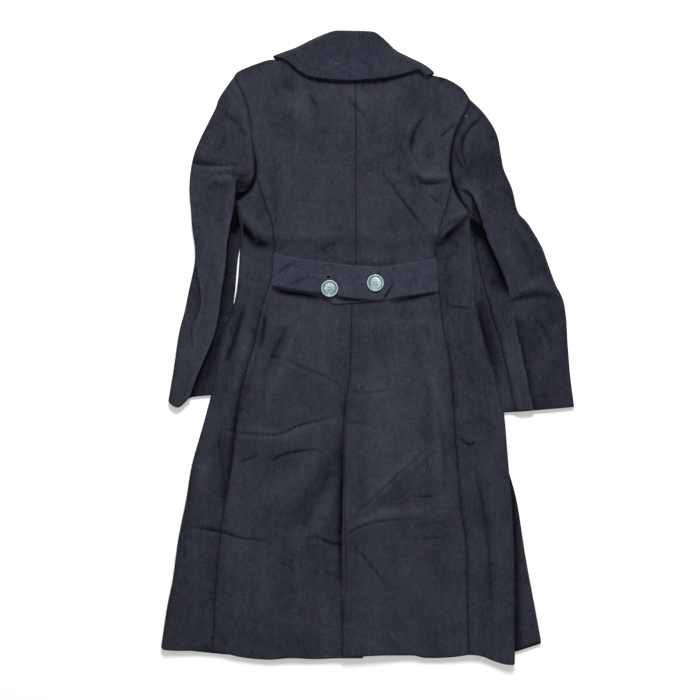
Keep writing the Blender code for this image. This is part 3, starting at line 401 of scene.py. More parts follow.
# %% The creases, listed one by one
BACK_CREASES = [
    # below the belt, left: deep soft trough
    ([(-147, 36), (-158, 9), (-170, -13), (-194, -60)], -2.4, 13, 14),
    # ridge beside it
    ([(-122, 45), (-140, 2), (-154, -34)], 3, 14, 14),
    # beside the left seam under the belt
    ([(-170, 103), (-183, 67), (-186, 41), (-192, -7)], -1.8, 10, 8),
    # side panel, left
    ([(-219, 80), (-236, 25), (-255, -30)], -1.9, 12, 12),
    ([(-208, 25), (-225, -30), (-241, -85)], 2.2, 12, 12),
    # sharp, from the trough to the centre
    ([(-179, -14), (-147, -23), (-109, -39), (-68, -57), (-32, -81)], -1.3, 2.8, 4),
    # sharp, across the left panel
    ([(-256, -148), (-230, -154), (-195, -157), (-159, -157), (-119, -140), (-73, -130),
      (-53, -125)], -1.7, 4, 2.8),
    ([(-230, -206), (-213, -201), (-197, -195)], -1.1, 3, 3),
    ([(-174, -206), (-149, -192), (-109, -185), (-78, -186)], -1.4, 3, 4),
    # diagonal troughs from the vent
    ([(-46, -167), (-64, -214), (-89, -272), (-129, -344), (-186, -409)], -1.2, 18, 30),
    ([(-44, -239), (-53, -275), (-69, -319)], -0.4, 10, 14),
    ([(-75, -200), (-111, -247), (-154, -290), (-190, -347)], 1.2, 18, 18),
    ([(-316, -322), (-292, -327), (-260, -334), (-225, -344), (-183, -349)], -1.5, 4, 2.8),
    ([(-114, -347), (-93, -342), (-68, -352), (-43, -357)], -1.4, 4, 3),
    # right panel
    ([(-40, -338), (-21, -326), (3, -317), (43, -311), (96, -308)], -1.6, 2.8, 4),
    ([(-30, -310), (8, -274), (43, -241), (88, -201), (109, -178)], -1.4, 3.2, 2.8),
    ([(-25, -360), (-3, -382), (22, -413), (38, -433)], -1.3, 3.2, 3.2),
    ([(78, -269), (104, -269), (129, -266)], -1, 3, 3),
    ([(78, -347), (112, -344), (144, -344)], -0.9, 3, 3),
    ([(-30, -82), (8, -82), (53, -75)], -1.1, 3, 3),
    ([(-38, -135), (-21, -136), (-3, -140)], -0.9, 4, 4),
    # long folds by the right seam
    ([(119, -89), (134, -160), (139, -221), (134, -271)], -2.6, 9, 14),
    ([(140, 56), (147, -5), (152, -59), (154, -113)], -2, 9, 7),
    ([(189, -201), (210, -302), (220, -402), (222, -493)], -2.8, 22, 17),
    ([(164, -160), (181, -175), (197, -170)], -1.3, 4, 3),
    ([(102, 45), (107, 23), (114, 2)], -2, 7, 7),
    ([(138, 74), (161, 71), (184, 70)], -1, 4, 4),
    # left side panel
    ([(-258, -121), (-267, -167), (-260, -221), (-254, -279)], -0.7, 15, 12),
    # upper back
    ([(-109, 457), (-98, 443), (-88, 427)], -1.3, 5, 5),
    ([(-38, 452), (-21, 432), (-3, 412)], -1.4, 5, 5),
    ([(22, 321), (48, 285), (73, 250), (93, 225), (101, 205)], -1.5, 3.4, 4),
    ([(105, 419), (84, 387), (78, 355), (89, 331), (111, 308)], -1.3, 4, 3.4),
    ([(94, 423), (73, 387), (68, 351)], 1, 6, 6),
    ([(86, 308), (98, 296), (119, 294), (149, 298)], -2.6, 7, 5),
    ([(129, 376), (144, 389), (159, 402)], -1.3, 4, 4),
    ([(107, 275), (123, 263), (140, 252)], -1.1, 3, 3),
    ([(-109, 169), (-78, 179), (-38, 200)], -1.3, 4, 5),
    ([(-88, 179), (-75, 173), (-63, 164)], -1, 4, 4),
    ([(-129, 263), (-68, 259), (-10, 270)], -0.4, 6, 6),
    # left armpit
    ([(-225, 235), (-205, 205), (-174, 179)], -3.5, 5, 8),
    # left panel rises away from the vent
    ([(-82, -95), (-93, -203), (-89, -311), (-82, -437)], 2, 26, 24),
    # beside the vent's edge
    ([(-40, -95), (-44, -167), (-46, -257), (-48, -347), (-48, -455)], -2, 2, 14),
    # right armpit
    ([(177, 238), (144, 215), (129, 190)], -3.5, 8, 5),
]
SLEEVE_LEFT_CREASES = [
    ([(-251, 466), (-240, 454), (-230, 441)], -1.2, 6, 6),
    ([(-260, 422), (-240, 407), (-225, 387), (-217, 380)], -1.8, 7, 7),
    ([(-330, 340), (-307, 329), (-274, 326), (-230, 326)], -3.6, 13, 4),
    ([(-278, 311), (-248, 311), (-224, 306), (-208, 315)], -3, 8, 5),
    ([(-296, 290), (-276, 299), (-255, 293)], 1.8, 10, 8),
    ([(-258, 272), (-264, 236), (-262, 193)], -1.5, 10, 10),
    ([(-285, 193), (-291, 153), (-302, 117)], 1.5, 12, 12),
    ([(-291, 49), (-294, 13), (-309, -27)], -1.4, 8, 8),
    ([(-332, -20), (-320, -45), (-321, -67)], -1, 6, 6),
]
SLEEVE_RIGHT_CREASES = [
    # folds beside the armhole
    ([(210, 419), (186, 396), (172, 374), (170, 353), (177, 322)], -2.4, 3.2, 2.6),
    ([(199, 423), (177, 398), (163, 373), (161, 344)], 1.6, 4, 4),
    ([(156, 346), (165, 333), (174, 320)], -1.2, 2.5, 2.5),
    ([(192, 412), (174, 391), (163, 365), (163, 340)], -0.8, 4, 4),
    ([(168, 304), (188, 279), (208, 239), (215, 200)], 3, 10, 10),
    ([(258, 81), (285, 91), (336, 94)], -2, 7, 5),
    ([(306, 47), (331, 7), (326, -9)], -1.2, 6, 6),
    ([(204, 344), (215, 319), (213, 293)], -1.2, 8, 8),
    ([(215, 371), (224, 376), (237, 376)], -1, 6, 6),
    ([(260, 247), (282, 200), (303, 171)], 1.4, 12, 12),
    ([(294, -90), (287, -81), (292, -70)], -0.9, 5, 5),
    ([(316, 135), (303, 112), (274, 99)], 1.6, 12, 10),
]
print("creases:", len(BACK_CREASES) + len(SLEEVE_LEFT_CREASES) + len(SLEEVE_RIGHT_CREASES))


# %% Heights of folds and creases
def fold_rise(x, y, folds, steps=1, tapered=False):
    """Sum of the heights of folds at each place. Fades towards the ends of each."""
    rise = np.zeros(np.shape(x))
    for points, height, left_reach, right_reach in folds:
        line = smooth_line(points, steps) if steps > 1 else np.array(points, float)
        far = 3 * max(left_reach, right_reach)
        near = ((x > line[:, 0].min() - far) & (x < line[:, 0].max() + far)
                & (y > line[:, 1].min() - far) & (y < line[:, 1].max() + far))
        if not near.any():
            continue
        distance, along = side_distance(x[near], y[near], line)
        away = np.abs(distance) / np.where(distance > 0, left_reach, right_reach)
        fade, shape = np.sin(np.pi * along), np.exp(-away ** 2)
        if tapered:
            fade = np.clip(fade, 0, 1) ** 0.6
            shape = 0.5 * shape + 0.5 * np.exp(-away * 2.8)
        else:
            fade = fade * 0.7 + 0.3
        rise[near] += height * fade * shape
    return rise


def crease_rise(x, y, creases):
    """Sum of the heights of creases: smooth lines, sharp along their middle, gone at the ends."""
    return fold_rise(x, y, creases, 4, True)


def swell(x, y):
    """The slow, shallow unevenness of a heavy cloth that was put down by hand."""
    waves = [(0.021, 0.013, 0.4, 0.9), (-0.017, 0.024, 1.9, 0.8), (0.041, -0.019, 3.1, 0.45),
             (0.012, 0.052, 5.2, 0.45), (-0.063, -0.031, 0.8, 0.25), (0.029, 0.083, 2.6, 0.2)]
    return sum(size * np.sin(kx * x + ky * y + phase) for kx, ky, phase, size in waves)


# %% Levels of the layers
CLOTH = 3.0                # thickness of the wool, lining included
GAP = 0.3                  # clear space between pieces that touch
SEAM = GAP / 2             # each piece stops this far from its seam line
LAYER = CLOTH + 0.4        # one layer of cloth lifts the next by this much
BACK_LEVEL = 2 * LAYER     # underside of the back, above both fronts
FOLD_DEPTH = 2.1           # the cloth that shows folds deeper than its solid
CENTRE_X = -22.0
FRONT_LAP = 67.0           # how far each front goes past the centre
VENT_TOP_Y = -99.0
VENT_RISE = 4.3            # how high the vent's right half lies over the left one
BELT_REST = 0.8            # clear height under the half belt
SIDE_EDGE_RIGHT_LINE = smooth_line(SIDE_EDGE_RIGHT, 4)
SIDE_EDGE_LEFT_LINE = smooth_line(SIDE_EDGE_LEFT, 4)
ARMHOLE_LEFT_LINE = smooth_line(joined(ARMHOLE_LEFT, ARMPIT_LEFT), 4)
ARMHOLE_RIGHT_LINE = smooth_line(joined(ARMHOLE_RIGHT, ARMPIT_RIGHT), 4)
SHOULDER_LINE = smooth_line(joined(SHOULDER_LEFT, SHOULDER_RIGHT), 4)


def collar_lift(x, y, lead=0.0):
    """One layer more where the collar's front ends lie under the coat."""
    across = soft_step(x, -234 - lead, -184 - lead) * (1 - soft_step(x, 132 + lead, 182 + lead))
    return LAYER * across * soft_step(y, 350 - lead, 446 - lead)


def belt_zone(x, y):
    """1 under the half belt and the collar, where the back stays smooth."""
    belt = (soft_step(x, -212, -184) * (1 - soft_step(x, 140, 160))
            * soft_step(y, 40, 66) * (1 - soft_step(y, 180, 204)))
    collar = soft_step(x, -190, -168) * (1 - soft_step(x, 120, 140)) * soft_step(y, 450, 474)
    return np.maximum(belt, collar)


def pleat_lift(x, y):
    """One layer more over the hidden pleat along the right side."""
    distance = away_from(x, y, SIDE_EDGE_RIGHT_LINE)
    lift = LAYER * (1 - soft_step(distance, 66, 128)) * (1 - soft_step(y, 272, 330))
    return np.where((y > 330) | (x < 40), 0.0, lift)


def shoulder_drop(x, y):
    """The back comes down on to the front along the shoulder seams."""
    distance = away_from(x, y, SHOULDER_LINE)
    outside = np.maximum(soft_step(-x, 168, 196), soft_step(x, 116, 140))
    return np.where(y < 380, 0.0, LAYER * (1 - soft_step(distance, 0, 30)) * outside)


def seam_sink(x, y):
    """The cloth goes down into the armhole seams, most of all near the armpits."""
    sink = np.zeros(np.shape(x))
    for line in (ARMHOLE_LEFT_LINE, ARMHOLE_RIGHT_LINE):
        distance, along = side_distance(x, y, line)
        sink += (0.6 + 2.6 * soft_step(along, 0.25, 0.8)) * np.exp(-(distance / 5.0) ** 2)
    return sink


def edge_puff(x, y):
    """The coat is thicker along its folded sides."""
    left = away_from(x, y, SIDE_EDGE_LEFT_LINE)
    right = away_from(x, y, SIDE_EDGE_RIGHT_LINE)
    puff = 3.2 * np.exp(-(left / 26.0) ** 2) + 2.8 * np.exp(-(right / 26.0) ** 2)
    return puff * (1 - soft_step(y, 225, 262))


def back_base(x, y):
    """Underside of the back layer without its creases."""
    folds = FOLD_DEPTH * fold_rise(x, y, BACK_FOLDS) * (1 - belt_zone(x, y))
    return BACK_LEVEL + collar_lift(x, y, 40) + pleat_lift(x, y) - shoulder_drop(x, y) + folds


CREASE_DEPTH = 2.0
LOFT = 2.2                 # how far the creased cloth stands off the layer beneath
LOWEST = -3.2
BELT_HOLLOWS = [
    ([(-172, 108), (-150, 100), (-118, 95), (-84, 88)], -3.6, 5, 13),
    ([(40, 82), (70, 86), (98, 92), (126, 98)], -2.6, 5, 11),
]


def back_detail(x, y):
    """The creases and the swell of the back; smooth under the belt and the collar."""
    free = (CREASE_DEPTH * crease_rise(x, y, BACK_CREASES) + 1.2 * swell(x, y)
            + LOFT + edge_puff(x, y))
    detail = (free * (1 - belt_zone(x, y)) - seam_sink(x, y)
              + crease_rise(x, y, BELT_HOLLOWS))
    return np.maximum(detail, LOWEST)


# Painted shade along lines: SEAM_SHADE darkens the armhole seams; BACK_SHADE paints the shadows
# under the collar's edge, above and under the belt, beside the vent and under the armpit folds,
# and is darker towards the hem. Its positive entries paint lighter patches of painted light on the
# skirt and the left panel.
SEAM_SHADE = [
    ([(-208, 374), (-203, 342), (-201, 322), (-204, 300), (-215, 281), (-238, 262),
      (-250, 246)], -2.0, 3.0, 3.0),
    ([(181, 436), (170, 411), (158, 386), (151, 352), (149, 318), (156, 288), (168, 265),
      (179, 250), (194, 232), (212, 213)], -1.9, 2.6, 2.6),
]
BACK_SHADE = [
    ([(-176, 532), (-144, 513), (-124, 495), (-102, 483), (-62, 477), (-22, 476), (20, 479),
      (62, 487), (92, 496), (122, 492)], -1.7, 4, 4),
    ([(-66, 157), (-28, 151), (28, 148.5), (72, 157)], -0.9, 7, 3),
    ([(-174, 108), (-150, 100), (-110, 94), (-74, 86)], -1.7, 4, 8),
    ([(40, 80), (64, 85), (92, 90), (130, 97)], -1.3, 6, 3),
    ([(-38, -60), (-43, -180), (-45, -290), (-47, -420)], -0.7, 1, 34),
    ([(-43, -200), (-45, -400), (-46, -640)], -0.9, 1, 5),
    ([(-44, -110), (-62, -215), (-82, -310)], 0.62, 28, 28),
    ([(40, 500), (92, 420), (110, 340)], -0.35, 60, 60),
    ([(-330, -500), (-160, -530), (-40, -545)], -0.3, 50, 50),
    ([(-222, -50), (-236, -130), (-246, -215), (-257, -290)], -1.0, 4, 6),
    ([(-178, 60), (-206, -40), (-238, -150), (-262, -290)], -0.5, 4, 16),
    ([(0, -40), (44, -124), (70, -240)], 0.62, 66, 66),
    ([(-120, 80), (-110, 0), (-100, -110)], 0.42, 50, 50),
    ([(-262, 290), (-240, 252), (-222, 222), (-203, 199), (-180, 182)], -2.6, 2.5, 9),
    ([(126, 180), (140, 201), (154, 217), (168, 229), (186, 240)], -1.4, 3.5, 6),
    ([(-172, 312), (-167, 262), (-165, 212)], -0.6, 7, 6),
]


def hollows(level):
    """Painted shade below 0 in troughs and painted light above 0 on ridges, from a grid of
    heights.
    """
    near, passes = level, 0
    marks = np.zeros(level.shape)
    for until, share in ((24, 0.30), (200, 0.12)):
        while passes < until:
            edged = np.pad(near, 1, mode="edge")
            near = (edged[1:-1, :-2] + edged[1:-1, 2:] + edged[:-2, 1:-1] + edged[2:, 1:-1]
                    + 4 * near) / 8
            passes += 1
        marks += share * (level - near)
    return np.clip(marks, -1.5, 0.7)


def back_painted_shading(grid, under):
    """Painted shade and painted light on the back, from its hollows, its shade lines and its sharp
    creases.
    """
    x, y = grid[..., 0], grid[..., 1]
    # painted shade along the sharp creases of the back
    sharp = [fold for fold in BACK_CREASES if -2.0 < fold[1] < 0]
    return (hollows(under(x, y)) + crease_rise(x, y, BACK_SHADE + SEAM_SHADE)
            + 0.32 * crease_rise(x, y, sharp))


def back_under(x, y):
    """Underside of the back layer."""
    return back_base(x, y) + back_detail(x, y)


def vent_lift(x, y):
    """The right half of the vent rises over the hidden left half."""
    return VENT_RISE * (1 - soft_step(x, 6, 66)) * (1 - soft_step(y, -90, -24))


def back_right_under(x, y):
    """Underside of the right back, which laps over the left at the vent."""
    return back_under(x, y) + vent_lift(x, y)


def front_left_under(x, y):
    """Underside of the left front, which steps over the edge of the right front."""
    step_x = CENTRE_X - FRONT_LAP - 6.0
    return collar_lift(x, y, 8) + LAYER * soft_step(x, step_x - 36.0, step_x)


print("back lies %.1f mm above the floor" % BACK_LEVEL)

# %% [markdown]
# ## A shell for a panel
#
# A sewn panel is one sheet with a little thickness. A grid of points gives its upper face, the
# same grid lower down gives its under face, and narrow strips close the rim. At a seam the
# cloth turns down into the seam, so the last few points of the upper face are lowered: two
# panels side by side then show a fine rounded groove, as a pressed seam does.


# %% Wall and panel helpers
RIM_DEPTH = 1.25           # how far a face turns down at its very edge
RIM_REACH = 1.15           # and how far from the edge it starts to
RIM_MARK_REACH = 2.2       # how far from the edge the rim mark reaches: painted shade along the seams and edges of the navy wool, lighter rims on the turned wool


def rim_round(distance):
    """How far the face of the cloth turns in at a distance from its edge."""
    return RIM_DEPTH * np.exp(-(distance / RIM_REACH) ** 1.6)


def cloth_map(outer):
    """A flat map of a grid: across and along its rows, in metres."""
    across = steps_of(outer, 1)
    across = np.concatenate([np.zeros((len(outer), 1)), np.cumsum(across, axis=1)], 1)
    across -= across[:, -1:] / 2
    down = np.concatenate([[0.0], np.cumsum(steps_of(outer, 0).mean(axis=1))])
    return np.stack([across, np.repeat(down[:, None], outer.shape[1], 1)], 2) * MM


def wall(node, outer, inner, used=None, painted_shading=None):
    """A closed wall between two grids of points, in millimetres, kept under its node."""
    painted_shading = np.zeros(outer.shape[:2]) if painted_shading is None else painted_shading
    used = np.ones(outer.shape[:2], bool) if used is None else used
    number = np.full(used.shape, -1)
    number[used] = np.arange(used.sum())
    count = int(used.sum())
    cell = used[:-1, :-1] & used[1:, :-1] & used[:-1, 1:] & used[1:, 1:]
    r, c = np.nonzero(cell)
    a, b, d, e = number[r, c], number[r, c + 1], number[r + 1, c + 1], number[r + 1, c]
    faces = [np.stack([a, b, d, e], 1), np.stack([a, e, d, b], 1) + count]
    padded = np.pad(cell, 1)
    ring = [((-1, 0), (0, 0), (0, 1)), ((0, 1), (0, 1), (1, 1)),
            ((1, 0), (1, 1), (1, 0)), ((0, -1), (1, 0), (0, 0))]
    for (down, right), first, second in ring:
        beside = padded[1 + down:padded.shape[0] - 1 + down, 1 + right:padded.shape[1] - 1 + right]
        r, c = np.nonzero(cell & ~beside)
        start = number[r + first[0], c + first[1]]
        end = number[r + second[0], c + second[1]]
        faces.append(np.stack([end, start, start + count, end + count], 1))
    faces = np.vstack(faces)
    points = np.vstack([outer[used], inner[used]]) * MM
    corner = points[faces]
    volume = np.einsum("ij,ij->i", corner[:, 0], np.cross(corner[:, 1], corner[:, 2])).sum()
    volume += np.einsum("ij,ij->i", corner[:, 0], np.cross(corner[:, 2], corner[:, 3])).sum()
    if volume < 0:
        faces = faces[:, ::-1]
    flat = np.vstack([cloth_map(outer)[used]] * 2)
    piece = mesh_object("coat_" + node, points, faces, flat)
    # The rim mark: the navy wool is painted darker along every seam and edge (painted shade), the
    # turned wool lighter.
    rim = np.exp(-edge_distance(outer) / RIM_MARK_REACH)[used]
    add_mark(piece, "rim", np.concatenate([rim, rim]))
    # The painted_shading mark: painted shade below 0 and painted light above 0, which the wool
    # material adds to its colour.
    add_mark(piece, "painted_shading", np.concatenate([painted_shading[used], painted_shading[used]]))
    cloth_pieces[node] = piece


def add_mark(piece, label, values):
    """A number kept at each point of a piece, for its material to read."""
    mark = piece.data.attributes.new(label, "FLOAT", "POINT")
    mark.data.foreach_set("value", np.asarray(values, np.float32))


def mesh_object(name, points, faces, flat):
    """A smooth-shaded object from arrays of points, faces and places on the flat cloth."""
    data = bpy.data.meshes.new(name)
    data.from_pydata(points.tolist(), [], faces.tolist())
    data.shade_smooth()
    layer = data.uv_layers.new(name="cloth")
    corners = np.empty(len(data.loops), dtype=np.int32)
    data.loops.foreach_get("vertex_index", corners)
    layer.data.foreach_set("uv", flat[corners].astype(np.float32).ravel())
    return add_object(name, data)


def panel(grid, under, edge_of):
    """Outer and inner points of a flat panel. edge_of: distance of each point to its edge."""
    low = under(grid[..., 0], grid[..., 1])
    turn = rim_round(edge_of)
    outer = np.dstack([grid, low + CLOTH - turn])
    inner = np.dstack([grid, low + np.minimum(turn * 0.5, 0.6)])
    return outer, inner


def edge_distance(grid, sides="lrtb"):
    """Distance in mm from each point of a grid to its nearest chosen boundary."""
    def run(axis, backward):
        step = steps_of(grid, axis)
        step = np.flip(step, axis) if backward else step
        zero = np.zeros([1 if k == axis else size for k, size in enumerate(step.shape)])
        distance = np.concatenate([zero, np.cumsum(step, axis)], axis)
        return np.flip(distance, axis) if backward else distance

    choices = {"l": (1, False), "r": (1, True), "t": (0, False), "b": (0, True)}
    return np.min([run(*choices[side]) for side in sides], axis=0)


CELL = 2.7                 # spacing of the points of a visible panel
cloth_pieces = {}
print("cell size: %.1f mm" % CELL)

# %% [markdown]
# ## The back
#
# The two centre backs are cut side by side. Down to the vent they meet in the centre back
# seam; below it the right one laps over a hidden strip of the left one.

# %% Rows down the seams
ARMHOLE_SHARES = even(49)
SIDE_LENGTH = 880.0        # from armpit to hem, in round figures
SIDE_SHARES = fine_end(SIDE_LENGTH, CELL)


def seam_rows(armhole, seam):
    """Points down an armhole and the seam below it."""
    return joined(spaced(armhole, ARMHOLE_SHARES), spaced(seam, SIDE_SHARES))


def centre_rows():
    """Points down the centre back seam and the vent's edge."""
    above = [point for point in CENTRE_BACK if point[1] >= 300]
    below = [point for point in CENTRE_BACK if point[1] <= 300]
    return joined(spaced(above, ARMHOLE_SHARES), spaced(below, SIDE_SHARES))


# %% The two halves of the back
VENT_STRIP = np.array([4, 12, 20, 28, 35, 38.0])   # columns hidden under the right half
FAR_FROM_EDGE = 9.0


def back_left():
    """Left centre back, with the hidden half of the vent as extra columns."""
    across = column_shares(width=220.0, cell=CELL)
    left = shifted(seam_rows(ARMHOLE_LEFT, SIDE_BACK_LEFT), -SEAM)
    right = shifted(centre_rows(), SEAM)
    grid = patch(left, right, spaced(SHOULDER_LEFT, across), spaced(HEM_LEFT, across), across)
    extra = len(VENT_STRIP)
    strip = np.stack([grid[:, -1, None, 0] + VENT_STRIP,
                      np.repeat(grid[:, -1:, 1], extra, 1)], 2)
    below = grid[:, -1, 1] < VENT_TOP_Y - 8
    used = np.ones((len(grid), grid.shape[1] + extra), bool)
    used[:, grid.shape[1]:] = below[:, None]
    edge = edge_distance(grid)
    edge[below, :] = edge_distance(grid, "lb")[below, :]
    outer, inner = panel(np.concatenate([grid, strip], 1), back_under,
                         np.concatenate([edge, np.full(strip.shape[:2], FAR_FROM_EDGE)], 1))
    wall("back_left", outer, inner, used, back_painted_shading(outer, back_under))


def back_right():
    """Right centre back, whose edge laps over the vent."""
    across = column_shares(width=200.0, cell=CELL)
    left = shifted(centre_rows(), -SEAM)
    right = shifted(seam_rows(ARMHOLE_RIGHT, SIDE_BACK_RIGHT), SEAM)
    grid = patch(left, right, spaced(SHOULDER_RIGHT, across), spaced(HEM_RIGHT, across), across)
    outer, inner = panel(grid, back_right_under, edge_distance(grid))
    wall("back_right", outer, inner, painted_shading=back_painted_shading(grid, back_right_under))


back_left()
back_right()
for node in ("back_left", "back_right"):
    print(node, len(cloth_pieces[node].data.polygons), "faces")

# %% [markdown]
# ## Panels that roll round an edge
#
# Along its sides the coat simply turns over: the side-back panel goes round the edge and comes
# back underneath. The section of such a roll is half a circle whose radius is half the height
# between the top and the bottom, and the same section serves the sleeves and the collar.


# %% The rolled section
ROLL_STEPS = 12
RIM_CLOSING = 0.72         # how far the upper face goes to meet the lower one at a rim


def rolled(tops, bottoms, top_stops, bottom_stops, top_under, bottom_under, high_at=5.0):
    """A wall that rolls from a top grid line round an edge to a bottom one.

    tops, bottoms: for each row a line that starts at the edge. The stops are shares of its
    length, beyond the roll. high_at: how far in the roll's height is read. Returns outer and
    inner grids, from the end of the top to the end of the bottom.
    """
    near = np.array([places(line, [high_at])[0] for line in tops])
    high = top_under(near[:, 0], near[:, 1]) + CLOTH
    low = bottom_under(near[:, 0], near[:, 1])
    radius, middle = (high - low) / 2, (high + low) / 2
    angles = np.pi * (0.5 - np.arange(1, ROLL_STEPS) / ROLL_STEPS)
    top_points, bottom_points, arcs = [], [], []
    for row, (top, bottom) in enumerate(zip(tops, bottoms)):
        start = max(radius[row], 0.5)
        for line, stops, points in ((top, np.asarray(top_stops)[::-1], top_points),
                                    (bottom, np.asarray(bottom_stops), bottom_points)):
            points.append(places(line, start + stops * (lengths(line)[-1] - start)))
        out_reach = radius[row] * (1 - np.cos(angles))
        in_reach = radius[row] - (radius[row] - CLOTH) * np.cos(angles)
        arcs.append([[places(top if angle > 0 else bottom, [distance])[0]
                      for angle, distance in zip(angles, reach)]
                     for reach in (out_reach, in_reach)])
    top_points, bottom_points, arcs = map(np.array, (top_points, bottom_points, arcs))
    top_low = top_under(top_points[..., 0], top_points[..., 1])
    bottom_low = bottom_under(bottom_points[..., 0], bottom_points[..., 1])
    return [np.concatenate([np.dstack([top_points, top_low + top_rise]),
                            np.dstack([arcs[:, side], middle[:, None]
                                       + (radius[:, None] - shrink) * np.sin(angles)]),
                            np.dstack([bottom_points, bottom_low + shrink])], 1)
            for side, top_rise, shrink in ((0, CLOTH, 0.0), (1, 0.0, CLOTH))]


def turn_in(outer, inner, columns=(), rows=()):
    """Round the rims of a rolled wall: the faces close in on each other at chosen borders."""
    weight = np.zeros(outer.shape[:2])
    for axis, borders in ((1, columns), (0, rows)):
        for last in borders:
            line = np.flip(outer, axis) if last else outer
            away = np.linalg.norm(line - np.take(line, [0], axis), axis=2)
            away = np.flip(away, axis) if last else away
            weight = np.maximum(weight, rim_round(away) / RIM_DEPTH)
    weight = weight[..., None] * RIM_CLOSING
    middle = (outer + inner) / 2
    return outer + (middle - outer) * weight, inner + (middle - inner) * weight * 0.6


print("roll: %d steps round an edge" % ROLL_STEPS)


# %% The side-back panels
# Painted shade: the rolled edges, the sides and the sleeves are painted darker than the back where
# they slope away, the right sleeve most, as it lies lower.
EDGE_SHADE = -0.45         # mark round a rolled edge
SIDE_TONE = 0.22           # the sides and the sleeves are a little darker than the back
SLEEVE_TONE = {"left": 0.05, "right": 0.5}


def roll_painted_shading(outer, on_top):
    """Painted shade on a rolled wall: its top as given, darker round its edge, evenly darker
    underneath.
    """
    count = on_top.shape[1]
    marks = np.full(outer.shape[:2], -SIDE_TONE)
    marks[:, :count] = on_top
    marks[:, count:count + ROLL_STEPS - 1] = EDGE_SHADE
    return marks


def below_armhole(armhole, armpit, distance):
    """The top of a side panel, from the armpit to its back seam, clear of the sleeve."""
    first = smooth_line(armhole)
    whole = shifted(joined(first, smooth_line(armpit)), distance)
    top = whole[len(first) - 1:][::-1].copy()
    top[-1, 1] -= SEAM
    return top


def floor_level(x, y):
    """The floor."""
    return np.zeros(np.shape(x))


def side_panel(node, armhole, armpit, edge_line, seam_line, under_line, hem, hem_below,
               offset, under_level):
    """A side-back panel: its seam, the roll at the side, and the side seam beneath."""
    shares = even(15)
    edge = spaced(edge_line, SIDE_SHARES)
    top_line = below_armhole(armhole, armpit, -offset)
    edge[0] = top_line[0]
    seam = shifted(spaced(seam_line, SIDE_SHARES), offset)
    seam[0] = top_line[-1]
    under = shifted(spaced(under_line, SIDE_SHARES), offset)
    top_run = lengths(top_line)[-1]
    crown = places(top_line, shares * top_run)
    short = places(top_line, shares * top_run * 0.5)
    under[0] = short[-1]
    tops = patch(edge, seam, crown, spaced(hem[::-1], shares), shares)
    bottoms = patch(edge, under, short, spaced(hem_below, shares), shares)
    top_stops = fine_end(length=90.0, cell=CELL)
    outer, inner = rolled(tops, bottoms, top_stops, fine_end(length=40.0, cell=8.0),
                          back_under, under_level)
    marks = roll_painted_shading(outer, back_painted_shading(outer[:, :len(top_stops)], back_under) - SIDE_TONE)
    outer, inner = turn_in(outer, inner, columns=(0, 1), rows=(0, 1))
    wall(node, outer, inner, painted_shading=marks)


side_panel(
    "side_left", ARMHOLE_LEFT, ARMPIT_LEFT, SIDE_EDGE_LEFT, SIDE_BACK_LEFT, SIDE_SEAM_LEFT,
    HEM_SIDE_LEFT, [(-372, -541), (-366, -545), (-333, -547)], SEAM, floor_level)
side_panel(
    "side_right", ARMHOLE_RIGHT, ARMPIT_RIGHT, SIDE_EDGE_RIGHT, SIDE_BACK_RIGHT,
    SIDE_SEAM_RIGHT, HEM_SIDE_RIGHT, [(265, -571), (240, -568), (218, -562)], -SEAM,
    lambda x, y: np.full(np.shape(x), 2 * LAYER))
print("side panels rolled over at the sides of the coat")

# %% [markdown]
# ## The fronts
#
# Both fronts lie under the back. Little of them shows from above, only the right front's edge
# beyond the skirt and the corners at the hem, so their points stand further apart.

# %% The two fronts
FRONT_CELL = 9.0
FRONT_SIDE_SHARES = even(int(SIDE_LENGTH / FRONT_CELL))
FRONT_ARMHOLE_SHARES = even(21)


def front_edge(count, x):
    """Points down a front edge."""
    return spaced([(x, 450), (x, 0), (x, -556)], even(count))


def front_left():
    """Left front, from the side seam to its edge past the centre."""
    left = shifted(joined(spaced(ARMHOLE_LEFT, FRONT_ARMHOLE_SHARES),
                          spaced(ARMPIT_LEFT[:SIDE_SEAM_POINT + 1], [0, 0.33, 0.67, 1]),
                          spaced(SIDE_SEAM_LEFT, FRONT_SIDE_SHARES)), -SEAM)
    lap_x = CENTRE_X + FRONT_LAP
    across = column_shares(width=340.0, cell=FRONT_CELL)
    hem = spaced([(-333, -547), (-225, -557), (-100, -558), (lap_x, -556)], across)
    grid = patch(left, front_edge(len(left), lap_x), spaced(FRONT_TOP_LEFT, across), hem, across)
    outer, inner = panel(grid, front_left_under, edge_distance(grid))
    wall("front_left", outer, inner)


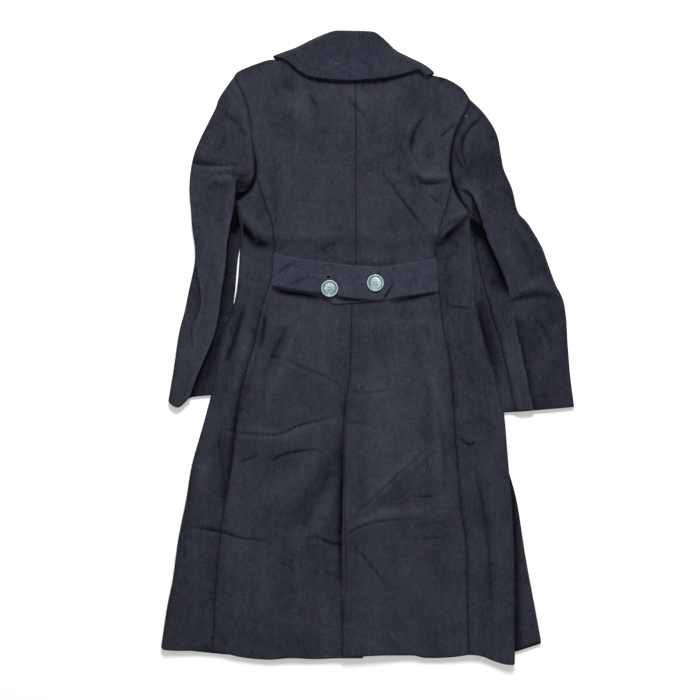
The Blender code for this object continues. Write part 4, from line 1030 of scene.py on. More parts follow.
def front_right():
    """Right front, from its edge to the side, where it rolls up into the pleat."""
    hole = joined(spaced(ARMHOLE_RIGHT, FRONT_ARMHOLE_SHARES),
                  spaced(ARMPIT_RIGHT, even(9)))
    chest = len(hole) - 1
    edge = spaced(UNDER_EDGE_RIGHT, FRONT_SIDE_SHARES)
    right = joined(shifted(hole, SEAM), edge)
    lap_x = CENTRE_X - FRONT_LAP
    across = even(41)
    hem = spaced([(lap_x, -556), (100, -556), (218, -552), (298, -540), (314, -534)], across)
    grid = patch(front_edge(len(right), lap_x), right, spaced(FRONT_TOP_RIGHT, across), hem,
                 across)[:, ::-1]
    armpit = below_armhole(ARMHOLE_RIGHT, ARMPIT_RIGHT, SEAM)
    edge[0] = armpit[0]
    armpit_run = lengths(armpit)[-1]
    pleat_shares = even(9)
    pleat = patch(edge, spaced(SIDE_SEAM_RIGHT, FRONT_SIDE_SHARES),
                  places(armpit, pleat_shares * armpit_run * 0.5),
                  spaced([(314, -534), (265, -545), (218, -552)], pleat_shares), pleat_shares)
    floor_stops = fine_end(length=340.0, cell=FRONT_CELL)
    outer, inner = rolled(pleat, grid[chest:], fine_end(length=60.0, cell=6.0), floor_stops,
                          lambda x, y: np.full(np.shape(x), LAYER), collar_lift)
    flat = np.array([places(line, 0.2 + floor_stops * (lengths(line)[-1] - 0.2))
                     for line in grid[:chest]])
    low = collar_lift(flat[..., 0], flat[..., 1])
    turn = rim_round(edge_distance(flat))
    blank = np.zeros((chest, outer.shape[1] - flat.shape[1], 3))
    outer, inner = turn_in(outer, inner, columns=(0, 1), rows=(1,))
    outer = np.concatenate([np.concatenate([blank, np.dstack([flat, low])], 1), outer])
    inner = np.concatenate([np.concatenate([blank, np.dstack([flat, low + CLOTH - turn])], 1),
                            inner])
    used = np.ones(outer.shape[:2], bool)
    used[:chest, :blank.shape[1]] = False
    # Painted shade: the right front is darker overall and near-black beside the side panel's
    # overhanging edge.
    beside = side_distance(outer[..., 0], outer[..., 1], SIDE_EDGE_RIGHT_LINE)[0]
    marks = -SIDE_TONE - 1.4 * np.exp(-(beside / 10.0) ** 2)
    wall("front_right", outer, inner, used, marks)


front_left()
front_right()
print("fronts made, %.0f mm past the centre each" % FRONT_LAP)

# %% [markdown]
# ## The sleeves
#
# Each sleeve is a tube of two pieces, pressed nearly flat by its own weight. Cross lines run
# from its outer edge to its inner edge. On each of them the cloth goes over the top, round
# both edges and back underneath. The seam behind the arm is on top, the other is hidden.

# %% Lines across a sleeve
FOLD_INNER_LEFT_LINE = smooth_line(FOLD_INNER_LEFT, 3)
FOLD_OUTER_LEFT_LINE = smooth_line(FOLD_OUTER_LEFT, 3)
FOLD_INNER_RIGHT_LINE = smooth_line(FOLD_INNER_RIGHT, 3)
ROLL_RIGHT_LINE = smooth_line(ROLL_RIGHT, 3)
SLEEVE_LENGTH = 610.0      # from armhole to cuff, in round figures
SLEEVE_SHARES = fine_end(SLEEVE_LENGTH, CELL)
ACROSS = even(97)
SOLID_ROWS = 18            # rows of the solid sleeve; places down a sleeve are told in them
SLEEVE_CELL = 2.2


def sleeve_lines(outer_edge, inner_edge, armhole, cuff):
    """Lines across a sleeve, bowed like the armhole and the cuff near its ends."""
    armhole_line = places(armhole, ACROSS * lengths(armhole)[-1])
    cuff_line = spaced(cuff, ACROSS)
    start, end = spaced(outer_edge, SLEEVE_SHARES), spaced(inner_edge, SLEEVE_SHARES)

    def bow(line):
        straight = line[0] + (line[-1] - line[0]) * ACROSS[:, None]
        return (line - straight)[None]

    row = (SLEEVE_SHARES * SOLID_ROWS)[:, None]
    soft = 1 - soft_step(ACROSS, 0.4, 0.72)[None]
    keep = np.where(row < 1, (1 - row) + row * soft * 2 / 3, np.maximum(1 - row / 3, 0) * soft)
    keep_end = np.maximum(1 - (SOLID_ROWS - row) / 3, 0)
    return (start[:, None] + (end - start)[:, None] * ACROSS[None, :, None]
            + keep[..., None] * bow(armhole_line) + keep_end[..., None] * bow(cuff_line))


def lap_over(points, folds):
    """Pull the cloth over itself along folds: each is a line, its high side and a width."""
    moved = points.copy()
    x, y = points[..., 0], points[..., 1]
    nudge = 0.5
    for line, high_side, width in folds:
        distance, along = side_distance(x, y, line)
        distance = distance * high_side
        gone = np.sin(np.pi * np.clip(along, 0, 1)) ** 0.5 * ((along > 0.0) & (along < 1.0))
        push = width * gone * np.exp(-(distance / (1.6 * width)) ** 2)
        push = np.where(distance > 0, -push, push)
        right = side_distance(x + nudge, y, line)[0] * high_side
        up = side_distance(x, y + nudge, line)[0] * high_side
        step_x, step_y = (right - distance) / nudge, (up - distance) / nudge
        steady = (np.abs(step_x) <= 1.2) & (np.abs(step_y) <= 1.2)
        moved[..., 0] += np.where(steady, push * step_x, 0.0)
        moved[..., 1] += np.where(steady, push * step_y, 0.0)
    return moved


def sleeve_pieces(side, lines, under, hind_share, fore_share, folds, shade):
    """The upper piece and the narrower under piece of one sleeve."""
    hind = int(np.argmin(np.abs(ACROSS - hind_share)))
    fore = int(np.argmin(np.abs(ACROSS - fore_share)))
    back = lines[:, ::-1]
    halves = {"upper": (lines[:, :hind + 1], lines[:, :fore + 1]),
              "under": (back[:, :len(ACROSS) - hind], back[:, :len(ACROSS) - fore])}
    for which, (tops, bottoms) in halves.items():
        tops = np.array([places(t, np.linspace(0, lengths(t)[-1] - SEAM, 60)) for t in tops])
        bottoms = np.array([places(b, np.linspace(0, lengths(b)[-1] - SEAM, 40))
                            for b in bottoms])
        width = lengths(tops[len(tops) // 3])[-1]
        top_stops = fine_end(width, SLEEVE_CELL)
        outer, inner = rolled(tops, bottoms, top_stops, fine_end(length=60.0, cell=7.0),
                              under, floor_level)
        top = outer[:, :len(top_stops)]
        # Painted shade and painted light: from the hollows of the top, the sleeve's shade lines,
        # and darker for the sleeve as a whole.
        marks = roll_painted_shading(outer, np.maximum(hollows(top[..., 2]), -0.6)
                           + shade(top[..., 0], top[..., 1]) - SLEEVE_TONE[side])
        for points in (outer, inner):
            points[:, :len(top_stops)] = lap_over(points[:, :len(top_stops)], folds)
        outer, inner = turn_in(outer, inner, columns=(0, 1), rows=(1,))
        wall("sleeve_%s_%s" % (side, which), outer, inner, painted_shading=marks)


def row_of(x):
    """The row number of each point, from 0 at the armhole to 18 at the cuff."""
    rows = SLEEVE_SHARES * SOLID_ROWS
    return rows[:, None] if np.ndim(x) == 2 else rows


# %% Heights of the sleeves
SLEEVE_LOW = 3.4
SLEEVE_HIGH = 11.5
SLEEVE_REST = 3.1          # the top layer comes no lower than this, on the layer beneath


def sleeve_level(x, y, row, low, crown, folds, creases):
    """Underside of a sleeve's top layer: that of the back at the armhole, then its own."""
    free = SLEEVE_LOW + (crown - SLEEVE_LOW) * (1 - low)
    free = free + folds
    detail = 1.6 * crease_rise(x, y, creases) + 0.8 * swell(y, x)
    join = soft_step(row, 0, 3)
    return (back_under(x, y) * (1 - join) + np.maximum(free, SLEEVE_REST) * join
            + detail * (1 - low) * soft_step(row, 0, 0.5))


def left_lows(x, y):
    """1 where the left sleeve's top layer lies low, beyond its two folded edges."""
    inner = side_distance(x, y, FOLD_INNER_LEFT_LINE)[0]
    outer, along = side_distance(x, y, FOLD_OUTER_LEFT_LINE)
    low_inner = soft_step(inner, -2.4, 2.4) * (1 - soft_step(y, 296, 314))
    beyond = (along > 0.005) & (along < 0.995)
    low_outer = np.where(beyond, (1 - soft_step(outer, -2.4, 2.4)) * np.sin(np.pi * along) ** 0.5,
                         0.0)
    return low_inner, low_outer * 0.75, inner


def sleeve_left_under(x, y):
    """Underside of the left sleeve's top layer, with its two folded edges."""
    row = row_of(x)
    low_inner, low_outer, inner = left_lows(x, y)
    crown = SLEEVE_HIGH + 1.5 - 4.5 * soft_step(-inner, 20, 70) - 1.5 * soft_step(row, 14, 18)
    folds = 1.5 * fold_rise(x, y, SLEEVE_LEFT_FOLDS) * (1 - low_inner)
    return sleeve_level(x, y, row, np.maximum(low_inner, low_outer), crown, folds,
                        SLEEVE_LEFT_CREASES)


# Painted shade along lines on the left sleeve: the armpit hollow, under its upper fold and beside
# the body.
UPPER_LEFT_SHADE = [([(-336, 336), (-306, 335), (-262, 326)], -0.8, 20, 5)]
LEFT_SHADE = [
    ([(-206, 320), (-212, 302), (-222, 282), (-234, 262)], -0.7, 14, 14),
    ([(-226, 280), (-236, 250), (-240, 232), (-243, 204)], -3.4, 12, 12),
    ([(-240, 60), (-262, 20), (-276, -20), (-292, -60)], -0.5, 12, 8),
]


def sleeve_left_shade(x, y):
    """Painted shade in the hollows of the left sleeve, most of all where its lower layer shows."""
    low_inner, low_outer, inner = left_lows(x, y)
    near_fold = np.exp(-(inner / 14.0) ** 2)
    return (crease_rise(x, y, LEFT_SHADE) * low_inner
            + crease_rise(x, y, SEAM_SHADE + UPPER_LEFT_SHADE)
            - low_inner * (0.5 + 0.7 * near_fold) - 0.4 * low_outer)


def right_lows(x, y, row):
    """1 where the right sleeve lies low: left of its fold, and tucked under the body."""
    inner, along = side_distance(x, y, FOLD_INNER_RIGHT_LINE)
    beside = away_from(x, y, SIDE_EDGE_RIGHT_LINE)
    low_inner = (1 - soft_step(inner, -2.4, 2.4)) * (1 - soft_step(along, 0.86, 1.0))
    low_inner = low_inner * soft_step(along, 0.0, 0.2)
    roll = side_distance(x, y, ROLL_RIGHT_LINE)[0]
    low_inner = low_inner * (1 - 0.55 * soft_step(roll, -2.2, 2.2))
    tucked = (1 - soft_step(beside, 12, 34)) * soft_step(row, 3, 6) * (1 - soft_step(y, 225, 245))
    return low_inner * 0.92, tucked, inner


def sleeve_right_under(x, y):
    """Underside of the right sleeve's top layer, low where it goes under the body."""
    row = row_of(x)
    low_inner, tucked, inner = right_lows(x, y, row)
    low = np.maximum(low_inner, tucked)
    crown = SLEEVE_HIGH + 2.5 - 6.0 * soft_step(inner, 14, 80) - 2.0 * soft_step(row, 13, 18)
    folds = 1.5 * fold_rise(x, y, SLEEVE_RIGHT_FOLDS) * (1 - low)
    return sleeve_level(x, y, row, low, crown, folds, SLEEVE_RIGHT_CREASES)


# Painted shade along lines on the right sleeve, under its fold and beside the body; the positive
# line paints a lighter patch of painted light lower down.
RIGHT_SHADE = [
    ([(182, 226), (197, 214), (214, 198)], -2.6, 10, 14),
    ([(194, 204), (206, 160), (226, 118), (240, 96)], -0.4, 16, 12),
    ([(200, 86), (206, 40), (222, -14), (240, -70)], -1.1, 8, 10),
    ([(186, 440), (170, 408), (162, 372), (160, 330)], -0.5, 10, 4),
    ([(222, 20), (250, -70), (290, -150)], 0.5, 40, 40),
]


def sleeve_right_shade(x, y):
    """Painted shade in the hollows of the right sleeve, under its fold and beside the body."""
    low_inner, _, inner = right_lows(x, y, row_of(x))
    near_fold = np.exp(-(inner / 11.0) ** 2)
    return (crease_rise(x, y, RIGHT_SHADE + SEAM_SHADE)
            + low_inner * (0.2 - 1.1 * near_fold))


LEFT_SLEEVE_LAPS = [(FOLD_INNER_LEFT_LINE, -1.0, 3.2), (FOLD_OUTER_LEFT_LINE, 1.0, 2.6)]
RIGHT_SLEEVE_LAPS = [(FOLD_INNER_RIGHT_LINE, 1.0, 3.4), (ROLL_RIGHT_LINE, 1.0, 2.4)]


# %% The four sleeve pieces
def armhole_line(armhole, armpit, offset):
    """The armhole with the armpit below it, just outside its seam."""
    return shifted(joined(smooth_line(armhole), smooth_line(armpit)), offset)


def table_share(armhole, armpit, index):
    """How far along the armhole and armpit a point of the tables is."""
    run = lengths(joined(armhole, armpit))
    return run[index] / run[-1]


for side, armhole, armpit, outside, inside, cuff, offset, under, folds, shade in (
        ("left", ARMHOLE_LEFT, ARMPIT_LEFT, SLEEVE_OUTER_LEFT, SLEEVE_INNER_LEFT, CUFF_LEFT,
         SEAM, sleeve_left_under, LEFT_SLEEVE_LAPS, sleeve_left_shade),
        ("right", ARMHOLE_RIGHT, ARMPIT_RIGHT, SLEEVE_OUTER_RIGHT, SLEEVE_INNER_RIGHT,
         CUFF_RIGHT, -SEAM, sleeve_right_under, RIGHT_SLEEVE_LAPS, sleeve_right_shade)):
    across_lines = sleeve_lines(outside, inside, armhole_line(armhole, armpit, offset), cuff)
    sleeve_pieces(side, across_lines, under, table_share(armhole, armpit, HINDARM_POINT),
                  table_share(armhole, armpit, FOREARM_POINT), folds, shade)
print("sleeves: four pieces")

# %% [markdown]
# ## The collar
#
# The collar turns over at the neck: its fall lies on the back, with the lower edge standing a
# little off it, and its front ends go in under the coat. It is the roll again, along a curve.

# %% Collar
COLLAR_ROWS = 150
COLLAR_BULGE = 7.0         # the fall's edge stands off the back by most of this
COLLAR_CREASES = [
    ([(-38, 523), (-14, 514), (8, 503)], -1.2, 5, 5),
    ([(-120, 508), (-100, 500), (-84, 494)], -0.9, 6, 6),
    ([(46, 505), (60, 512), (66, 522)], -0.9, 6, 6),
    ([(-70, 486), (-62, 500), (-60, 516)], 0.9, 14, 14),
    ([(16, 486), (20, 500), (14, 516)], 0.9, 14, 14),
]


def collar_fall_under(x, y):
    """Underside of the fall: on the back, standing off towards its edge."""
    rest = BACK_LEVEL + LAYER + CLOTH + GAP
    distance = np.hypot((x + 22) * 0.55, y - 568)
    wave = 0.8 * np.sin(x * 0.062 + 0.6) * soft_step(distance, 60, 90)
    return (rest + 1.4 + COLLAR_BULGE * soft_step(distance, 20, 92) * 0.8 + wave
            + crease_rise(x, y, COLLAR_CREASES) + 0.4 * swell(x, y))


def collar():
    """Stand, roll and fall in one wall; its front ends go under the coat."""
    outline, fall, under = (smooth_line(line) for line in
                            (COLLAR_OUTLINE, COLLAR_FALL, COLLAR_UNDER))
    run = lengths(outline)
    distances = np.concatenate([FINE, np.linspace(6, run[-1] - 6, COLLAR_ROWS),
                                run[-1] - FINE[::-1]])
    place = np.interp(distances, run, np.arange(len(run)))

    def pick(line):
        return np.stack([np.interp(place, np.arange(len(line)), line[:, k])
                         for k in range(line.shape[1])], 1)

    edge, fall, under = pick(outline), pick(fall), pick(under)
    level = np.maximum(under[:, 2], 0.0)
    tops = even(12)[None, :, None] * (fall - edge)[:, None] + edge[:, None]
    bottoms = (even(6)[None, :, None] * (under[:, :2] - edge)[:, None]
               + edge[:, None])
    top_stops = fine_end(length=88.0, cell=3.4)
    outer, inner = rolled(tops, bottoms, top_stops, fine_end(length=60.0, cell=8.0),
                          collar_fall_under,
                          lambda x, y: level[:, None] + 0 * x if np.ndim(x) == 2 else level)
    # Painted shade and painted light from the collar's hollows and round its rolled edge; the
    # whole collar a little darker.
    marks = roll_painted_shading(outer, hollows(outer[:, :len(top_stops), 2]) * 0.6 - 0.6)
    outer, inner = turn_in(outer, inner, columns=(0, 1), rows=(0, 1))
    wall("collar", outer, inner, painted_shading=marks)


collar()
print("collar made")

# %% [markdown]
# ## The half belt
#
# Two pointed tabs start in the side-back seams and meet over the small of the back, the left
# one on top. Each is two layers of wool turned out and pressed, so its edges are round.

# %% Half belt
BELT_CREASES = [
    ([(-174, 124), (-150, 142), (-122, 156)], -1.6, 3, 5),
    ([(-154, 107), (-124, 119), (-90, 132)], -1.6, 3, 5),
    ([(-60, 92), (-40, 100), (-22, 98)], 0.6, 10, 10),
    ([(70, 100), (84, 118), (90, 140)], -0.6, 8, 8),
]


# Painted shade on the lower tab: the shadow under the upper tab's edge and point, and a near-black
# spot under the eyelet.
BELT_SHADE = [
    ([(-64, 93), (-43, 86), (-8, 82.5), (25, 80.5)], -2.2, 4, 4),
    ([(24, 82), (36, 97), (46, 115)], -1.5, 4, 4),
    ([(45, 114), (37, 130), (30, 144)], -0.8, 3, 3),
    ([(-76, 126), (-65, 125.5)], -2.2, 6, 6),
]


def belt_half(node, top, bottom, point, lift, shade):
    """A tab of the half belt, lying on the back, with a pointed end."""
    fine = np.array([0, 0.6, 1.3, 2.4])
    shares = np.concatenate([fine / 200, np.linspace(5, 195, 80) / 200, 1 - fine[::-1] / 200])
    t = np.concatenate([fine / 60, np.linspace(4.5, 55.5, 22) / 60, 1 - fine[::-1] / 60])
    upper, lower = spaced(top, shares), spaced(bottom, shares)
    grid = upper[:, None] + (lower - upper)[:, None] * t[None, :, None]
    reach = (np.maximum(shares - 0.7, 0) / 0.3)[:, None] * (1 - np.abs(2 * t - 1))[None]
    grid[..., 0] += (point[0] - (upper[-1, 0] + lower[-1, 0]) / 2) * reach

    def under(x, y):
        base = (back_base(x, y) + np.maximum(vent_lift(x, y), 0) + CLOTH + BELT_REST
                + np.maximum(back_detail(x, y), 0))
        return base + lift(x) + crease_rise(x, y, BELT_CREASES) * 0.9

    outer, inner = panel(grid, under, edge_distance(grid) * 0.8)
    # painted shade in the belt's creases, and the painted shade lines above
    marks = (crease_rise(grid[..., 0], grid[..., 1], BELT_CREASES) * 0.6
             + crease_rise(grid[..., 0], grid[..., 1], shade))
    wall(node, outer, inner, painted_shading=marks)


belt_half(
    "belt_left", BELT_LEFT_TOP, BELT_LEFT_BOTTOM, BELT_LEFT_POINT,
    lambda x: LAYER * soft_step(x, -150, -92), [])
belt_half(
    "belt_right", BELT_RIGHT_TOP, BELT_RIGHT_BOTTOM, BELT_RIGHT_POINT, lambda x: 0 * x,
    BELT_SHADE)
print("belt: two tabs")

# %% [markdown]
# ## The buttons
#
# A sewn-through button is turned: a dished face inside a raised rim. The profile is spun in
# code, then four holes are drilled through it, and two thick threads cross the dish.

# %% Buttons
BUTTON_RADIUS = 15.0
BUTTON_SEAT = BACK_LEVEL + 2 * CLOTH + BELT_REST + LAYER + GAP
BUTTON_CENTRES = {"button_left": (-68, 105), "button_right": (14, 115)}
BUTTON_PROFILE = [(0, 2.5), (4.6, 2.55), (8.6, 2.75), (10.8, 2.95), (12.0, 3.3), (12.6, 4.0),
                  (13.1, 4.6), (13.7, 4.85), (14.3, 4.65), (14.75, 4.1), (15, 3.3),
                  (14.9, 2.4), (14.4, 1.3), (13.2, 0.5), (11, 0.0), (0, 0.0)]
HOLE_RADIUS = 1.15
HOLE_REACH = 3.2
BUTTON_TURN = {"button_left": 0.25, "button_right": -0.1}
DRILL_PROFILE = [(0, 8), (HOLE_RADIUS, 8), (HOLE_RADIUS, -2), (0, -2)]


def turned(profile, centre, base, segments=72):
    """A closed turned solid about a vertical axis."""
    mesh = bmesh.new()
    rings = []
    for radius, height in profile:
        angles = [2 * math.pi * k / segments for k in range(segments)] if radius else [0.0]
        rings.append([mesh.verts.new(((centre[0] + radius * math.cos(angle)) * MM,
                                      (centre[1] + radius * math.sin(angle)) * MM,
                                      (base + height) * MM)) for angle in angles])
    for first, second in zip(rings, rings[1:]):
        for k in range(segments):
            following = (k + 1) % segments
            corners = [first[k % len(first)], first[following % len(first)],
                       second[following % len(second)], second[k % len(second)]]
            mesh.faces.new(list(dict.fromkeys(corners)))
    bmesh.ops.recalc_face_normals(mesh, faces=mesh.faces[:])
    return mesh


def as_object(name, mesh):
    """Turn a bmesh into an object of the scene."""
    data = bpy.data.meshes.new(name)
    mesh.to_mesh(data)
    mesh.free()
    data.shade_smooth()
    return add_object(name, data)


def final_mesh(piece):
    """The mesh that an object makes with its modifiers, or a curve with its thickness."""
    bpy.context.view_layer.update()
    graph = bpy.context.evaluated_depsgraph_get()
    return bpy.data.meshes.new_from_object(piece.evaluated_get(graph))


def applied(piece):
    """The piece with its modifiers turned into plain mesh."""
    old, data = piece.data, final_mesh(piece)
    piece.modifiers.clear()
    piece.data = data
    bpy.data.meshes.remove(old)
    data.name = piece.name
    return piece


def cut_out(piece, cutters):
    """Cut some solids out of a piece, then throw them away."""
    for cutter in cutters:
        cut = piece.modifiers.new("cut", "BOOLEAN")
        cut.object = cutter
        cut.operation = "DIFFERENCE"
    applied(piece)
    for cutter in cutters:
        bpy.data.objects.remove(cutter)


def hole_place(node, angle):
    """The place of a button's hole at an angle, in millimetres."""
    centre = BUTTON_CENTRES[node]
    return centre[0] + HOLE_REACH * math.cos(angle), centre[1] + HOLE_REACH * math.sin(angle)


button_pieces = {}
for node, centre in BUTTON_CENTRES.items():
    piece = as_object("coat_" + node, turned(BUTTON_PROFILE, centre, BUTTON_SEAT))
    corners = [math.pi / 4 + quarter * math.pi / 2 + BUTTON_TURN[node] for quarter in range(4)]
    cut_out(piece, [as_object("drill", turned(DRILL_PROFILE, hole_place(node, corner),
                                              BUTTON_SEAT, 16)) for corner in corners])
    piece.data.set_sharp_from_angle(angle=math.radians(40))
    add_mark(piece, "radius", [
        math.hypot(v.co.x / MM - centre[0], v.co.y / MM - centre[1]) / BUTTON_RADIUS
        for v in piece.data.vertices])
    button_pieces[node] = piece
    print(node, len(piece.data.polygons), "faces")

# %% [markdown]
# ## Wool
#
# Milled wool has no visible weave: its face is a felt of short fibres, brushed down the coat.
# It is dark navy, uneven in tone, a little dusty where it was handled, and its nap catches
# light at a low angle. Sheen gives that glow, noise gives the felt.


# %% Node helpers
def node_group(name, kind, inputs, outputs):
    """A Shader or Geometry node group: its tree, and the sockets of its two ends."""
    tree = bpy.data.node_groups.new(name, kind + "NodeTree")
    for label, socket_kind, *value in inputs:
        socket = tree.interface.new_socket(label, in_out="INPUT",
                                           socket_type="NodeSocket" + socket_kind)
        if value:
            socket.default_value = value[0]
    for label, socket_kind in outputs:
        tree.interface.new_socket(label, in_out="OUTPUT", socket_type="NodeSocket" + socket_kind)
    given, out = tree.nodes.new("NodeGroupInput"), tree.nodes.new("NodeGroupOutput")
    return tree, given.outputs, out.inputs


def wire(tree, socket, value):
    """Link a socket to another one, or set it to a plain value."""
    if isinstance(value, bpy.types.NodeSocket):
        tree.links.new(value, socket)
    else:
        socket.default_value = value


def link_new(tree, kind, **inputs):
    """A node whose inputs are numbers, or sockets to link."""
    node = tree.nodes.new(kind)
    for label, value in inputs.items():
        wire(tree, node.inputs[label.replace("_", " ")], value)
    return node


def math_node(tree, operation, first, second):
    """Two values joined by a sum, product or other rule."""
    node = tree.nodes.new("ShaderNodeMath")
    node.operation = operation
    for socket, value in zip(node.inputs, (first, second)):
        wire(tree, socket, value)
    return node.outputs["Value"]


def times(tree, first, second):
    """The product of two values."""
    return math_node(tree, "MULTIPLY", first, second)


def mixed(tree, *parts, start=None):
    """The sum of some values, each times its share, on top of a start."""
    total = start
    for value, share in parts:
        scaled = times(tree, value, share)
        total = scaled if total is None else math_node(tree, "ADD", total, scaled)
    return total


def noise(tree, vector, scale, detail=3.0, rough=0.6, **more):
    """The factor of a noise texture."""
    return link_new(tree, "ShaderNodeTexNoise", Vector=vector, Scale=scale, Detail=detail,
                    Roughness=rough, **more).outputs["Fac"]


def mapped(tree, vector, **how):
    """Texture places that are shifted, turned or stretched."""
    return link_new(tree, "ShaderNodeMapping", Vector=vector, **how).outputs["Vector"]


def ramp(tree, value, low, high, to_low=0.0, to_high=1.0):
    """A value taken from one range to another, kept inside it."""
    return link_new(tree, "ShaderNodeMapRange", Value=value, From_Min=low, From_Max=high,
                    To_Min=to_low, To_Max=to_high).outputs["Result"]


def blend_colour(tree, factor, low, high):
    """A mix of two colours, each a triple or a socket."""
    node = tree.nodes.new("ShaderNodeMix")
    node.data_type = "RGBA"
    tree.links.new(factor, node.inputs["Factor"])
    for label, value in (("A", low), ("B", high)):
        wire(tree, node.inputs[label], (*value, 1.0) if isinstance(value, tuple) else value)
    return node.outputs["Result"]


def mark_of(tree, label):
    """The number kept at each point of a piece under a name."""
    node = tree.nodes.new("ShaderNodeAttribute")
    node.attribute_name = label
    return node.outputs["Fac"]


def dress_shader(tree, shader, colour, height, strength, distance):
    """Give a shader its colour and its small relief."""
    tree.links.new(colour, shader.inputs["Base Color"])
    bump = link_new(tree, "ShaderNodeBump", Strength=strength, Distance=distance, Height=height)
    tree.links.new(bump.outputs["Normal"], shader.inputs["Normal"])


print("helpers for shaders and node groups are ready")


# %% Felt, a shader group
def wrinkle_lines(tree, place, scale, apart):
    """Broken hair-thin lines, where the cloth was creased and shaken out again."""
    place = mapped(tree, place, Location=(apart, apart * 0.7, 0.0))
    field = noise(tree, place, scale, 2.0, 0.5, Distortion=0.8)
    off_middle = math_node(tree, "ABSOLUTE", math_node(tree, "SUBTRACT", field, 0.5), 0.0)
    line = ramp(tree, off_middle, 0.0, 0.0011 * scale, 1.0, 0.0)
    broken = ramp(tree, noise(tree, place, scale * 2.3, 2.0), 0.50, 0.60)
    return times(tree, line, broken)


def felt_group():
    """Milled wool: how light each place is, how high its fibres stand, and its dust."""
    tree, given, out = node_group(
        "milled_felt", "Shader",
        [("Vector", "Vector"), ("Patchiness", "Float", 1.0), ("Grain", "Float", 1.0)],
        [("Tone", "Float"), ("Purple", "Float"), ("Dust", "Float"), ("Height", "Float")])
    place = given["Vector"]
    brushed = mapped(tree, place, Scale=(1.0, 0.45, 1.0))
    hanging = mapped(tree, place, Scale=(1.0, 0.16, 1.0), Rotation=(0.0, 0.0, 0.06))
    wide, patches, streaks, fibres, drapes = (
        ramp(tree, noise(tree, vector, scale, detail, rough), low, high, -0.5, 0.5)
        for vector, scale, detail, rough, low, high in (
            (place, 11.0, 2.0, 0.6, 0.3, 0.7), (place, 46.0, 4.0, 0.65, 0.32, 0.7),
            (brushed, 170.0, 4.0, 0.7, 0.3, 0.7), (brushed, 620.0, 3.0, 0.8, 0.3, 0.7),
            (hanging, 34.0, 3.0, 0.55, 0.32, 0.68)))
    slow = times(tree, mixed(tree, (wide, 0.22), (patches, 0.21), (drapes, 0.28)),
                 given["Patchiness"])
    quick = times(tree, mixed(tree, (streaks, 0.42), (fibres, 0.60)), given["Grain"])
    wrinkles = math_node(tree, "MAXIMUM", wrinkle_lines(tree, place, 9.0, 0.0),
                         wrinkle_lines(tree, place, 17.0, 5.0))
    tone = math_node(tree, "ADD", math_node(tree, "ADD", slow, quick), 0.5)
    aside = mapped(tree, place, Location=(3.1, 7.7, 1.3))
    specks = link_new(tree, "ShaderNodeTexVoronoi", Vector=place, Scale=150.0)
    near = ramp(tree, specks.outputs["Distance"], 0.09, 0.16, 1.0, 0.0)
    rare = ramp(tree, noise(tree, place, 75.0, 3.0, 0.7), 0.56, 0.72)
    height = mixed(tree, (noise(tree, place, 120.0), 1.3),
                   (noise(tree, brushed, 520.0, 3.0, 0.7), 0.45),
                   (noise(tree, place, 1700.0, 2.0), 0.2))
    # The tone is painted darker along the wrinkle lines: painted shade in fine creases.
    for label, value in (
            ("Tone", math_node(tree, "SUBTRACT", tone, times(tree, wrinkles, 0.24))),
            ("Purple", ramp(tree, noise(tree, aside, 60.0, 4.0, 0.7), 0.42, 0.66)),
            ("Dust", times(tree, near, rare)),
            ("Height", math_node(tree, "SUBTRACT", height, times(tree, wrinkles, 0.35)))):
        tree.links.new(value, out[label])
    return tree


FELT = felt_group()
print("felt group: %d nodes" % len(FELT.nodes))


# %% Wool and pearl
def wool_material(name, dark, light, purple, patchiness, grain, rim_light):
    """Navy wool: mottled felt, dusty specks, sheen; painted shade and painted light from each
    piece's marks, rims included.
    """
    material, shader = new_shader(name, Roughness=0.95, Specular_IOR_Level=0.05,
                                  Sheen_Weight=0.03, Sheen_Roughness=0.5,
                                  Sheen_Tint=(0.60, 0.66, 0.85, 1.0))
    tree = material.node_tree
    felt = tree.nodes.new("ShaderNodeGroup")
    felt.node_tree = FELT
    for label, value in (("Patchiness", patchiness), ("Grain", grain),
                         ("Vector", tree.nodes.new("ShaderNodeTexCoord").outputs["Object"])):
        wire(tree, felt.inputs[label], value)
    # Painted shade and painted light: the tone goes down in troughs, seams and under edges, and up
    # on ridges.
    painted_shading = mark_of(tree, "painted_shading")
    tone = mixed(tree, (mark_of(tree, "rim"), rim_light), (painted_shading, 0.45),
                 start=felt.outputs["Tone"])
    colour = blend_colour(tree, ramp(tree, tone, 0.0, 1.0), dark, light)
    colour = blend_colour(tree, times(tree, felt.outputs["Purple"], 0.55), colour, purple)
    # Painted shade: deep hollows and gaps are painted near-black.
    colour = blend_colour(tree, ramp(tree, painted_shading, -0.4, -1.8, 0.0, 1.0), colour,
                          (0.0006, 0.0007, 0.0014))
    colour = blend_colour(tree, times(tree, felt.outputs["Dust"], 0.75), colour,
                          (0.16, 0.17, 0.19))
    dress_shader(tree, shader, colour, felt.outputs["Height"], 1.0, 0.0011)
    return material


